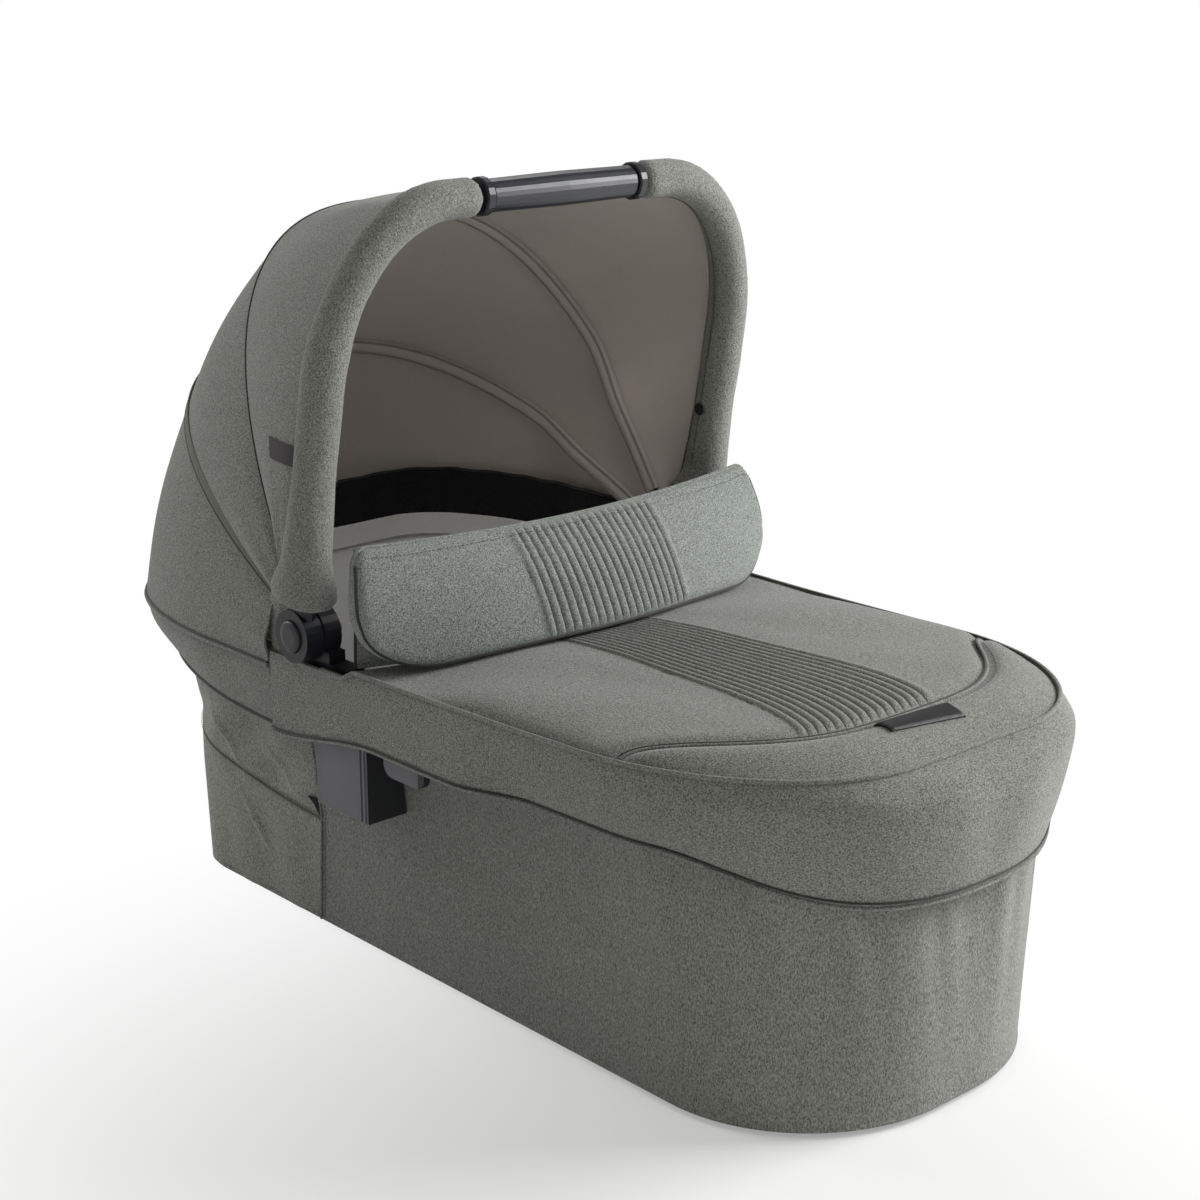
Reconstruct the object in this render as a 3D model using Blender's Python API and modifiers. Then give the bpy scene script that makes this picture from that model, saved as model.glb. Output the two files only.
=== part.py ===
"""Carrycot with a folding hood, a carrying handle, a zip-off apron and a wind flap.

Frame: +Y is the head end, -Y the foot end, +X and -X the two sides, +Z up.
The origin is on the floor under the middle of the cot. All sizes are in metres.
"""
import math

import bmesh
import bpy
import numpy as np
from mathutils import Matrix, Vector

# Fits shared by all pieces
CLEARANCE = 0.0003
OVERRUN = 0.002
SEAM_GAP = 0.0006

# Cloth, padding and wire thicknesses
COVER_THICKNESS = 0.0016
LINER_THICKNESS = 0.0015
MESH_THICKNESS = 0.0012
BAND_THICKNESS = 0.0025
HOOD_THICKNESS = 0.0018
BRACE_RADIUS = 0.0025

# Place of the side hinges along the cot
HINGE_Y = 0.092

# Plan and height of the rim tube's centre line
RIM_TUBE_RADIUS = 0.007
RIM_HEIGHT = 0.248
RIM_HALF_WIDTH = 0.195
RIM_TAPER = 0.008
RIM_FOOT_HALF_WIDTH = RIM_HALF_WIDTH - RIM_TAPER
RIM_FOOT_REACH = 0.396
RIM_HEAD_REACH = 0.394
RIM_FOOT_CORNER_SHARE = 0.802
RIM_FOOT_CORNER_ACROSS = RIM_FOOT_HALF_WIDTH * RIM_FOOT_CORNER_SHARE
RIM_FOOT_CORNER_ALONG = 0.185
RIM_HEAD_CORNER_ACROSS = 0.100
RIM_HEAD_CORNER_ALONG = 0.180
TAPER_START_OFFSET = 0.053
TAPER_START_Y = HINGE_Y - TAPER_START_OFFSET

# Plan of the fabric tub at its lower edge
WALL_SIDE_FLARE = 0.039
BASE_HALF_WIDTH = RIM_HALF_WIDTH - WALL_SIDE_FLARE
WALL_FOOT_FLARE = 0.005
BASE_FOOT_REACH = RIM_FOOT_REACH - WALL_FOOT_FLARE
WALL_HEAD_FLARE = 0.025
BASE_HEAD_REACH = RIM_HEAD_REACH - WALL_HEAD_FLARE
BASE_FOOT_CORNER_SHARE = 0.872
BASE_FOOT_CORNER_ACROSS = BASE_HALF_WIDTH * BASE_FOOT_CORNER_SHARE
BASE_FOOT_CORNER_ALONG = 0.129
BASE_HEAD_CORNER = 0.069

# How the fabric wall flares between the base and the rim, for each value of an outline
WALL_FLARE_SHARE = 8.0
WALL_STRAIGHT_SHARES = (0.45, 0.45, 0.80, 0.0, 0.45, 0.45, 0.30, 0.30)
WALL_LEVEL_SHARES = (0.0, 0.45, 0.75, 0.90, 1.0)

# The cover's turn over the rim tube, and where the front and rear covers meet
WRAP_START_DEG = -60
WRAP_END_DEG = 80
WRAP_STEPS = 4
COVER_SEAM_OFFSET = 0.047
COVER_SEAM_Y = HINGE_Y + COVER_SEAM_OFFSET
POD_NOTCH_OFFSET = 0.055
POD_NOTCH_FOOT_Y = HINGE_Y - POD_NOTCH_OFFSET
POD_NOTCH_DROP = 0.006

# Moulded base tray under the mattress
FOOT_PAD_HEIGHT = 0.005
FOOT_PAD_RADIUS = 0.010
FOOT_PAD_TIP_RADIUS = 0.008
FOOT_PAD_SIDE_INSET = 0.024
FOOT_PAD_X = BASE_HALF_WIDTH - FOOT_PAD_SIDE_INSET
FOOT_PAD_END_INSET = 0.110
TRAY_WALL_HEIGHT = 0.040
TRAY_THICKNESS = 0.003
TRAY_RIB_HEIGHT = 0.005
TRAY_RIB_WIDTH = 0.004
TRAY_RIB_INSET = 0.020
TRAY_LONG_RIB_X = 0.070
TRAY_CROSS_RIB_PITCH = 0.120
TRAY_VENT_LENGTH = 0.070
TRAY_VENT_WIDTH = 0.008
TRAY_VENT_PITCH = 0.040
BRACE_BOSS_RADIUS = 0.0050
BRACE_BOSS_HEIGHT = 0.030
BRACE_SOCKET_DEPTH = 0.018
BRACE_BOSS_END_INSET = 0.210
BRACE_BOSS_INSET = 0.0100
BRACE_TOP_SHARE = 0.86

# Liner and mattress
LINER_FOOT_INSET = 0.0190
LINER_RIM_INSET = 0.0025
MATTRESS_THICKNESS = 0.030
MATTRESS_CROWN = 0.006
MATTRESS_CROWN_SHARES = ((0.80, 0.65), (0.45, 1.0))
MATTRESS_GAP = 0.004
MATTRESS_EDGE_RADIUS = 0.010

# Black mesh band round the head end, inside the hood
MESH_BAND_HEIGHT = 0.060
MESH_BAND_TOP = RIM_HEIGHT + MESH_BAND_HEIGHT
MESH_BAND_TUCK = 0.012
MESH_BAND_OFFSET = 0.062
MESH_BAND_START_Y = HINGE_Y + MESH_BAND_OFFSET

# Hinge of the handle and hood
HINGE_RISE = 0.032
HINGE_Z = RIM_HEIGHT + HINGE_RISE
DRUM_RADIUS = 0.022
HOUSING_INNER_DEPTH = 0.007
HOUSING_INNER_X = RIM_HALF_WIDTH - HOUSING_INNER_DEPTH
HOUSING_OUTER_DEPTH = 0.008
HOUSING_OUTER_X = RIM_HALF_WIDTH + HOUSING_OUTER_DEPTH
SOCKET_BLOCK_INNER_DEPTH = 0.0088
SOCKET_BLOCK_INNER_X = RIM_HALF_WIDTH - SOCKET_BLOCK_INNER_DEPTH
SOCKET_BLOCK_OUTER_X = HOUSING_OUTER_X
SOCKET_BLOCK_FOOT_LENGTH = 0.047
SOCKET_BLOCK_FOOT_Y = HINGE_Y - SOCKET_BLOCK_FOOT_LENGTH
SOCKET_BLOCK_HEAD_LENGTH = 0.0445
SOCKET_BLOCK_HEAD_Y = HINGE_Y + SOCKET_BLOCK_HEAD_LENGTH
SOCKET_BLOCK_DROP = 0.013
SOCKET_BLOCK_BOTTOM = RIM_HEIGHT - SOCKET_BLOCK_DROP
SOCKET_BLOCK_RISE = 0.012
SOCKET_BLOCK_TOP = RIM_HEIGHT + SOCKET_BLOCK_RISE
SOCKET_DEPTH = 0.030
PIN_RADIUS = 0.004
PIN_HEAD_RADIUS = 0.0075
PIN_HEAD_THICKNESS = 0.002
PIN_ENGAGEMENT = 0.003
EYELET_RADIUS = 0.0085
EYELET_THICKNESS = 0.0036

# Handle legs, discs and press buttons
LEG_DISC_THICKNESS = 0.016
LEG_DISC_RADIUS = 0.021
LEG_RUNNING_GAP = 0.0005
BUTTON_RADIUS = 0.0125
BUTTON_RUNNING_GAP = 0.0006
BUTTON_THICKNESS = 0.0065
BUTTON_PROUD = 0.003
BUTTON_TRAVEL = 0.003
BUTTON_RECESS_DEPTH = 0.0103
BUTTON_RING_RADIUS = 0.0185
BUTTON_RING_WIDTH = 0.0016
BUTTON_RING_DEPTH = 0.0008
STEM_START = 0.015
STEM_END = 0.088
STEM_FOOT_HALF_DEPTH = 0.0072
STEM_FOOT_HALF_WIDTH = 0.0135
STEM_TOP_RADIUS = 0.0102
STEM_SOCKET_DEPTH = 0.035

# Arch of the handle, in its own leaning plane
HANDLE_LEAN_DEG = 10.6
HANDLE_TUBE_RADIUS = 0.0075
ARCH_FOOT_STAND_OUT = 0.0165
ARCH_FOOT_HALF_SPAN = RIM_HALF_WIDTH + ARCH_FOOT_STAND_OUT
ARCH_STAND_OUT = 0.014
ARCH_HALF_SPAN = RIM_HALF_WIDTH + ARCH_STAND_OUT
ARCH_HEIGHT = 0.332
ARCH_SHOULDER_ACROSS = 0.099
ARCH_SHOULDER_SHARE = 0.4125
ARCH_SHOULDER_ALONG = ARCH_HEIGHT * ARCH_SHOULDER_SHARE
GRIP_HALF_LENGTH = 0.073
GRIP_RADIUS = 0.0125
GRIP_SWELL = 0.0008
COLLAR_LENGTH = 0.008
COLLAR_RADIUS = 0.0148
COLLAR_LIP = 0.0012
SLEEVE_RADIUS = 0.0158
SLEEVE_LEG_RADIUS = 0.0170
SLEEVE_FOOT_HALF_DEPTH = 0.0195
SLEEVE_FOOT_HALF_WIDTH = 0.0270
SLEEVE_START = 0.024
SLEEVE_SWELL_SHARE = 0.41
SLEEVE_SWELL_END = ARCH_HEIGHT * SLEEVE_SWELL_SHARE
SLEEVE_BORE_GAP = 0.0006
SNAP_HEIGHT = 0.1235
SNAP_RADIUS = 0.0052
SNAP_CAP_RADIUS = 0.0038
SNAP_THICKNESS = 0.0022

# Hood bows and panels
BOW_FRONT_DEG = 60.0
BOW_REAR_DEG = 27.0
BOW_RADIUS = 0.0017
BOW_STAND_OUT = 0.0045
BOW_HALF_SPAN = RIM_HALF_WIDTH + BOW_STAND_OUT
BOW_EXTRA_REACH = 0.037
BOW_REACH = RIM_HEAD_REACH - HINGE_Y + BOW_EXTRA_REACH
BOW_ROUNDNESS_SHARE = 2.6
BOW_WAIST_INSET = 0.008
BOW_WAIST_HALF_SPAN = RIM_HALF_WIDTH - BOW_WAIST_INSET
BOW_LEG_START = 0.020
BOW_WAIST_START = 0.045
BOW_WAIST_END = 0.120
BOW_FLARE_END = 0.200
HOOD_START = 0.046
HOOD_PUFF = 0.004
HOOD_REAR_INSET = 0.004

# Rear band below the hood
REAR_BAND_STAND_OUT = 0.015
REAR_BAND_HALF_WIDTH = RIM_HALF_WIDTH + REAR_BAND_STAND_OUT
REAR_BAND_HEAD_STAND_OUT = 0.023
REAR_BAND_HEAD_REACH = RIM_HEAD_REACH + REAR_BAND_HEAD_STAND_OUT
REAR_BAND_CORNER_ACROSS = 0.0950
REAR_BAND_CORNER_ALONG = 0.1950
REAR_BAND_HEM_STAND_OUT = 0.0055
REAR_BAND_HEM_HALF_WIDTH = RIM_HALF_WIDTH + REAR_BAND_HEM_STAND_OUT
REAR_BAND_HEM_HEAD_INSET = 0.0065
REAR_BAND_HEM_HEAD_REACH = RIM_HEAD_REACH - REAR_BAND_HEM_HEAD_INSET
REAR_BAND_HEM_DROP = 0.0422
REAR_BAND_HEM_Z = RIM_HEIGHT - REAR_BAND_HEM_DROP
REAR_BAND_HEM_SIDE_DROP = 0.0565
REAR_BAND_HEM_SIDE_Z = RIM_HEIGHT - REAR_BAND_HEM_SIDE_DROP
REAR_BAND_OFFSET = 0.046
REAR_BAND_START_Y = HINGE_Y + REAR_BAND_OFFSET
REAR_BAND_CROWN_DEG = 62
REAR_BAND_SHOULDER_SHARE = 0.6
REAR_BAND_WAIST_SHARE = 0.35

# Adapter housings, levers and springs
ADAPTER_STAND_OUT = 0.0105
ADAPTER_OUTER_X = RIM_HALF_WIDTH + ADAPTER_STAND_OUT
ADAPTER_INSET = 0.030
ADAPTER_INNER_X = RIM_HALF_WIDTH - ADAPTER_INSET
ADAPTER_FOOT_LENGTH = 0.073
ADAPTER_FOOT_Y = HINGE_Y - ADAPTER_FOOT_LENGTH
ADAPTER_HEAD_OFFSET = 0.007
ADAPTER_HEAD_Y = HINGE_Y - ADAPTER_HEAD_OFFSET
ADAPTER_DROP = 0.104
ADAPTER_BOTTOM = RIM_HEIGHT - ADAPTER_DROP
ADAPTER_SHOULDER_DROP = 0.043
ADAPTER_SHOULDER_Z = RIM_HEIGHT - ADAPTER_SHOULDER_DROP
ADAPTER_EDGE_RADIUS = 0.003
ADAPTER_SOCKET_INSET = 0.0125
ADAPTER_SOCKET_INNER_X = RIM_HALF_WIDTH - ADAPTER_SOCKET_INSET
ADAPTER_FRONT_WALL = 0.005
ADAPTER_SOCKET_OUTER_X = ADAPTER_OUTER_X - ADAPTER_FRONT_WALL
ADAPTER_SIDE_WALL = 0.010
ADAPTER_SOCKET_FOOT_Y = ADAPTER_FOOT_Y + ADAPTER_SIDE_WALL
ADAPTER_SOCKET_HEAD_Y = ADAPTER_HEAD_Y - ADAPTER_SIDE_WALL
ADAPTER_SOCKET_ROOF = 0.025
ADAPTER_SOCKET_TOP = ADAPTER_SHOULDER_Z - ADAPTER_SOCKET_ROOF
ADAPTER_RIDGE_PROUD = 0.0010
ADAPTER_RIDGE_WIDTH = 0.0022
ADAPTER_RIDGE_PITCH = 0.0050
ADAPTER_GROOVE_RADIUS = 0.0620
ADAPTER_GROOVE_WIDTH = 0.0012
ADAPTER_GROOVE_DEPTH = 0.0008
NECK_STAND_OUT = 0.0085
NECK_OUTER_X = RIM_HALF_WIDTH + NECK_STAND_OUT
NECK_INSET = 0.009
NECK_INNER_X = RIM_HALF_WIDTH - NECK_INSET
NECK_HEAD_STEP = 0.006
NECK_HEAD_Y = ADAPTER_HEAD_Y - NECK_HEAD_STEP
ARM_INNER_X = RIM_HALF_WIDTH
ARM_STAND_OUT = 0.0090
ARM_OUTER_X = RIM_HALF_WIDTH + ARM_STAND_OUT
ARM_BOTTOM_DROP = 0.026
ARM_BOTTOM = RIM_HEIGHT - ARM_BOTTOM_DROP
ARM_TOP_DROP = 0.014
ARM_TOP = RIM_HEIGHT - ARM_TOP_DROP
ARM_LENGTH = 0.052
ARM_FOOT_Y = ADAPTER_FOOT_Y - ARM_LENGTH
LEVER_GAP = 0.0010
LEVER_INNER_X = RIM_HALF_WIDTH + LEVER_GAP
LEVER_STAND_OUT = 0.0070
LEVER_OUTER_X = RIM_HALF_WIDTH + LEVER_STAND_OUT
LEVER_OVERHANG = 0.013
LEVER_FOOT_Y = ARM_FOOT_Y - LEVER_OVERHANG
LEVER_HEAD_OFFSET = 0.016
LEVER_HEAD_Y = ADAPTER_FOOT_Y - LEVER_HEAD_OFFSET
LEVER_DROP = 0.0335
LEVER_BOTTOM = ARM_BOTTOM - LEVER_DROP
LEVER_TOP_DROP = 0.009
LEVER_TOP = ARM_BOTTOM - LEVER_TOP_DROP
LEVER_CORNER_RADIUS = 0.010
LEVER_TRAVEL = 0.006
LEVER_STEM_RADIUS = 0.0022
LEVER_STEM_DROP = 0.005
LEVER_STEM_TOP = ARM_TOP - LEVER_STEM_DROP
SPRING_WIRE_RADIUS = 0.0005
LEVER_SPRING_RADIUS = 0.0031
HINGE_SPRING_RADIUS = 0.0075
SPRING_TURNS = 3
SPRING_POINTS_PER_TURN = 8

# Apron skirt
SKIRT_STAND_OUT = 0.0155
SKIRT_HALF_WIDTH = RIM_HALF_WIDTH + SKIRT_STAND_OUT
SKIRT_FOOT_SIDE_STAND_OUT = 0.0055
SKIRT_FOOT_HALF_WIDTH = RIM_HALF_WIDTH + SKIRT_FOOT_SIDE_STAND_OUT
SKIRT_FOOT_STAND_OUT = 0.021
SKIRT_FOOT_REACH = RIM_FOOT_REACH + SKIRT_FOOT_STAND_OUT
SKIRT_CORNER_SHARE = 0.858
SKIRT_CORNER_ACROSS = SKIRT_FOOT_HALF_WIDTH * SKIRT_CORNER_SHARE
SKIRT_CORNER_ALONG = 0.1950
HEM_HALF_WIDTH = SKIRT_HALF_WIDTH
HEM_WAIST_STAND_OUT = 0.004
HEM_WAIST_HALF_WIDTH = RIM_HALF_WIDTH + HEM_WAIST_STAND_OUT
HEM_FOOT_INSET = 0.007
HEM_FOOT_HALF_WIDTH = RIM_HALF_WIDTH - HEM_FOOT_INSET
HEM_FOOT_STAND_OUT = 0.012
HEM_FOOT_REACH = RIM_FOOT_REACH + HEM_FOOT_STAND_OUT
HEM_CORNER_SHARE = 0.9575
HEM_CORNER_ACROSS = HEM_FOOT_HALF_WIDTH * HEM_CORNER_SHARE
HEM_CORNER_ALONG = 0.1900
HEM_SIDE_DROP = 0.0395
HEM_SIDE_Z = RIM_HEIGHT - HEM_SIDE_DROP
HEM_FOOT_DROP = 0.074
HEM_FOOT_Z = RIM_HEIGHT - HEM_FOOT_DROP
HEM_REAR_DROP = 0.0575
HEM_REAR_Z = RIM_HEIGHT - HEM_REAR_DROP
HEM_BULGE_OFFSET = 0.039
HEM_BULGE_END_Y = LEVER_FOOT_Y - HEM_BULGE_OFFSET
HEM_WAIST_OFFSET = 0.070
HEM_WAIST_Y = HEM_BULGE_END_Y - HEM_WAIST_OFFSET
HEM_DROP_OFFSET = 0.125
HEM_DROP_START_Y = HEM_DROP_OFFSET - RIM_FOOT_REACH
STRAP_FOOT_LENGTH = 0.053
STRAP_START_Y = HINGE_Y - STRAP_FOOT_LENGTH
STRAP_HEAD_LENGTH = 0.0435
STRAP_END_Y = HINGE_Y + STRAP_HEAD_LENGTH
STRAP_RISE = 0.0085
STRAP_TOP_Z = RIM_HEIGHT + STRAP_RISE
RIDGE_STAND_OUT = 0.011
RIDGE_HALF_WIDTH = RIM_HALF_WIDTH + RIDGE_STAND_OUT
RIDGE_FOOT_SIDE_STAND_OUT = 0.005
RIDGE_FOOT_HALF_WIDTH = RIM_HALF_WIDTH + RIDGE_FOOT_SIDE_STAND_OUT
RIDGE_FOOT_INSET = 0.005
RIDGE_FOOT_REACH = RIM_FOOT_REACH - RIDGE_FOOT_INSET
RIDGE_CORNER_SHARE = 0.715
RIDGE_CORNER_ACROSS = RIDGE_FOOT_HALF_WIDTH * RIDGE_CORNER_SHARE
RIDGE_CORNER_ALONG = 0.1860
RIDGE_RISE = 0.014
RIDGE_Z = RIM_HEIGHT + RIDGE_RISE
RIDGE_FOOT_RISE = 0.021
RIDGE_FOOT_Z = RIM_HEIGHT + RIDGE_FOOT_RISE

# Crease that the wind flap hangs from
FLAP_HINGE_OFFSET = 0.0585
FLAP_HINGE_Y = HINGE_Y - FLAP_HINGE_OFFSET
CREASE_OFFSET = 0.0185
CREASE_Y = FLAP_HINGE_Y - CREASE_OFFSET
CREASE_SWEEP = 0.018
CREASE_HEIGHT = 0.1025
CREASE_Z = RIM_HEIGHT + CREASE_HEIGHT
CREASE_RISE = 0.006
FLAP_HINGE_RISE = 0.0065
FLAP_HINGE_Z = CREASE_Z + FLAP_HINGE_RISE

# Apron top, cap, riser and plate
QUILT_THICKNESS = 0.0040
QUILT_CROWN = 0.0100
QUILT_SEAM_CROWN = 0.0120
QUILT_EDGE_INSET = 0.0038
RISER_DEPTH = 0.044
RISER_BASE_Y = CREASE_Y - RISER_DEPTH
RISER_BASE_SWEEP = 0.066
CAP_LENGTH = 0.080
SEAM_MIDDLE_Y = CAP_LENGTH - RIDGE_FOOT_REACH
SEAM_SWEEP = 0.060
CAP_BULGE = 0.0045
CAP_COLUMNS = 17
CAP_ROWS = 4
RIB_ZONE_HALF_WIDTH = 0.066
RIB_HEIGHT = 0.0016
APRON_RIB_COUNT = 16
APRON_ROWS = 5
PLAIN_COLUMNS = 5
RISER_THICKNESS = 0.0030
RISER_STAND_OUT = 0.004
RISER_HALF_WIDTH = RIM_HALF_WIDTH + RISER_STAND_OUT
RISER_ROWS = 3
RISER_COLUMNS = 13
PLATE_LENGTH = 0.058
PLATE_WIDTH = 0.019
PLATE_THICKNESS = 0.0016
PLATE_OFFSET = 0.027
PLATE_Y = SEAM_MIDDLE_Y - PLATE_OFFSET

# Wind flap
FLAP_THICKNESS = 0.0065
FLAP_STAND_OFF = 0.0006
FLAP_TOP_STAND_OUT = 0.011
FLAP_TOP_HALF_WIDTH = RIM_HALF_WIDTH + FLAP_TOP_STAND_OUT
FLAP_SIDE_STAND_OUT = 0.018
FLAP_HALF_WIDTH = RIM_HALF_WIDTH + FLAP_SIDE_STAND_OUT
FLAP_FOOT_OFFSET = 0.056
FLAP_FOOT_Y = CREASE_Y - FLAP_FOOT_OFFSET
FLAP_FOOT_SWEEP = 0.050
FLAP_FOOT_GAP = 0.0015
FLAP_CORNER_WIDTH = 0.058
FLAP_CORNER_HEIGHT_SHARE = 0.46
FLAP_BULGE = 0.006
FLAP_RIB_ZONE_HALF_WIDTH = 0.075
FLAP_RIB_COUNT = 19
FLAP_ROWS = 4

# Steps along curves
SIDE_STEPS = 3
CORNER_STEPS = 6
END_STEPS = 2
ROUND_SEGMENTS = 24
SMALL_SEGMENTS = 12
HOOD_COLUMNS = 21
HOOD_ROWS = 3

PARTS = bpy.data.collections.new("carrycot")
CUTTERS = bpy.data.collections.new("carrycot_cutters")

MATERIAL_LOOKS = {
    "outer_fabric": ((0.125, 0.130, 0.112, 1.0), 0.95, 0.0),
    "flap_fabric": ((0.180, 0.200, 0.180, 1.0), 0.95, 0.0),
    "liner_fabric": ((0.420, 0.420, 0.410, 1.0), 0.95, 0.0),
    "mesh_fabric": ((0.012, 0.012, 0.013, 1.0), 0.85, 0.0),
    "mattress_cloth": ((0.500, 0.500, 0.490, 1.0), 0.95, 0.0),
    "dark_plastic": ((0.020, 0.021, 0.028, 1.0), 0.45, 0.0),
    "grey_plastic": ((0.100, 0.100, 0.115, 1.0), 0.50, 0.0),
    "tray_plastic": ((0.030, 0.030, 0.032, 1.0), 0.60, 0.0),
    "foot_rubber": ((0.015, 0.015, 0.015, 1.0), 0.80, 0.0),
    "tube_aluminium": ((0.600, 0.600, 0.610, 1.0), 0.35, 1.0),
    "steel_wire": ((0.450, 0.450, 0.460, 1.0), 0.30, 1.0),
    "plate_metal": ((0.040, 0.040, 0.050, 1.0), 0.35, 0.6),
}


class Plan:
    """Outline seen from above: straight tapering sides and elliptical corners at both ends."""

    def __init__(self, half, foot_half, foot, head, foot_across, foot_along, head_across, head_along):
        self.half = half
        self.foot_half = foot_half
        self.foot = foot
        self.head = head
        self.foot_across = foot_across
        self.foot_along = foot_along
        self.head_across = head_across
        self.head_along = head_along

    def values(self):
        return np.array([
            self.half, self.foot_half, self.foot, self.head,
            self.foot_across, self.foot_along, self.head_across, self.head_along,
        ])

    def grown(self, amount):
        """The same outline moved outwards by an amount on every side."""
        return Plan(*(self.values() + amount))

    def mixed(self, other, share):
        """An outline between this one (share 0) and another (share 1)."""
        return Plan(*(self.values() * (1 - share) + other.values() * share))

    def half_width_at(self, y):
        """Half width of the straight side at a station y."""
        foot_y = self.foot_along - self.foot
        share = (TAPER_START_Y - y) / (TAPER_START_Y - foot_y)
        return self.half + (self.foot_half - self.half) * min(max(share, 0.0), 1.0)

    def outline_half_width(self, y):
        """Half width of the outline at a station y, on a side or in the foot end's corners."""
        past = (self.foot_along - self.foot - y) / self.foot_along
        if past <= 0:
            return self.half_width_at(y)
        corner_x = self.foot_half - self.foot_across
        return corner_x + self.foot_across * math.sqrt(max(1 - past * past, 0.0))

    def foot_run(self, start_y):
        """Points from the -X side at start_y round the foot end to the +X side."""
        corner_y = self.foot_along - self.foot
        corner_x = self.foot_half - self.foot_across
        stations = [start_y] if start_y > TAPER_START_Y else []
        stations += list(np.linspace(min(start_y, TAPER_START_Y), corner_y, SIDE_STEPS + 1))
        points = [(-self.half_width_at(y), y) for y in stations[:-1]]
        angles = np.linspace(0, math.pi / 2, CORNER_STEPS + 1)
        corner = [
            (-corner_x - self.foot_across * math.cos(a), corner_y - self.foot_along * math.sin(a)) for a in angles
        ]
        points += corner
        points += [(x, -self.foot) for x in np.linspace(-corner_x, corner_x, END_STEPS + 1)[1:-1]]
        points += [(-x, y) for x, y in reversed(corner)]
        points += [(self.half_width_at(y), y) for y in reversed(stations[:-1])]
        return np.array(points)

    def head_run(self, start_y):
        """Points from the +X side at start_y round the head end to the -X side."""
        corner_y = self.head - self.head_along
        corner_x = self.half - self.head_across
        points = [(self.half, y) for y in np.linspace(start_y, corner_y, SIDE_STEPS + 1)[:-1]]
        angles = np.linspace(0, math.pi / 2, CORNER_STEPS + 1)
        corner = [
            (corner_x + self.head_across * math.cos(a), corner_y + self.head_along * math.sin(a)) for a in angles
        ]
        points += corner
        points += [(x, self.head) for x in np.linspace(corner_x, -corner_x, END_STEPS + 1)[1:-1]]
        points += [(-x, y) for x, y in reversed(corner)]
        points += [(-self.half, y) for y in np.linspace(corner_y, start_y, SIDE_STEPS + 1)[1:]]
        return np.array(points)

    def loop(self):
        """The whole outline, once round, without a repeated point."""
        middle_y = HINGE_Y
        return np.concatenate([self.foot_run(middle_y), self.head_run(middle_y)[1:-1]])


BASE_PLAN = Plan(
    BASE_HALF_WIDTH, BASE_HALF_WIDTH, BASE_FOOT_REACH, BASE_HEAD_REACH,
    BASE_FOOT_CORNER_ACROSS, BASE_FOOT_CORNER_ALONG, BASE_HEAD_CORNER, BASE_HEAD_CORNER,
)
RIM_PLAN = Plan(
    RIM_HALF_WIDTH, RIM_FOOT_HALF_WIDTH, RIM_FOOT_REACH, RIM_HEAD_REACH,
    RIM_FOOT_CORNER_ACROSS, RIM_FOOT_CORNER_ALONG, RIM_HEAD_CORNER_ACROSS, RIM_HEAD_CORNER_ALONG,
)
WRAP_RADIUS = RIM_TUBE_RADIUS + 4 * CLEARANCE + COVER_THICKNESS
WRAP_START = math.radians(WRAP_START_DEG)
WRAP_END = math.radians(WRAP_END_DEG)
WALL_TOP_PLAN = RIM_PLAN.grown(WRAP_RADIUS * math.cos(WRAP_START))
WALL_TOP_Z = RIM_HEIGHT + WRAP_RADIUS * math.sin(WRAP_START)


def wall_plan(z):
    """Outline of the fabric wall at a height: it flares slowly below and faster near the rim."""
    level = min(max((z - FOOT_PAD_HEIGHT) / (WALL_TOP_Z - FOOT_PAD_HEIGHT), 0.0), 1.0)
    straight = np.array(WALL_STRAIGHT_SHARES)
    return BASE_PLAN.mixed(WALL_TOP_PLAN, straight * level + (1 - straight) * level ** WALL_FLARE_SHARE)


def wall_levels():
    """Heights of the rows of points that shape the fabric wall."""
    return [FOOT_PAD_HEIGHT + share * (WALL_TOP_Z - FOOT_PAD_HEIGHT) for share in WALL_LEVEL_SHARES]


def smooth(value):
    """Ease from 0 to 1 with level ends."""
    value = min(max(value, 0.0), 1.0)
    return value * value * (3 - 2 * value)


def material(name):
    """The Principled material of a finish, made once."""
    found = bpy.data.materials.get(name)
    if found is None:
        colour, roughness, metallic = MATERIAL_LOOKS[name]
        found = bpy.data.materials.new(name)
        found.use_nodes = True
        shader = found.node_tree.nodes["Principled BSDF"]
        shader.inputs["Base Color"].default_value = colour
        shader.inputs["Roughness"].default_value = roughness
        shader.inputs["Metallic"].default_value = metallic
        found.diffuse_color = colour
    return found


def add_object(name, mesh, finish, collection=PARTS):
    """Link a mesh as an object of the part."""
    made = bpy.data.objects.new(name, mesh)
    collection.objects.link(made)
    if finish:
        mesh.materials.append(material(finish))
    return made


def smooth_shade(made, degrees=40):
    """Shade the faces smooth and keep the real edges sharp."""
    mesh = made.data
    mesh.shade_smooth()
    mesh.set_sharp_from_angle(angle=math.radians(degrees))


def mesh_from(name, points, faces):
    """A mesh with welded points and faces that point outwards."""
    mesh = bpy.data.meshes.new(name)
    mesh.from_pydata([tuple(p) for p in points], [], faces)
    shape = bmesh.new()
    shape.from_mesh(mesh)
    bmesh.ops.remove_doubles(shape, verts=shape.verts, dist=CLEARANCE / 30)
    bmesh.ops.recalc_face_normals(shape, faces=shape.faces)
    shape.to_mesh(mesh)
    shape.free()
    return mesh


def grid_faces(rows, columns, wrap=False):
    """Quads of a grid of points stored row by row."""
    faces = []
    last = columns if wrap else columns - 1
    for r in range(rows - 1):
        for c in range(last):
            d = (c + 1) % columns
            faces.append((r * columns + c, r * columns + d, (r + 1) * columns + d, (r + 1) * columns + c))
    return faces


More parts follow.
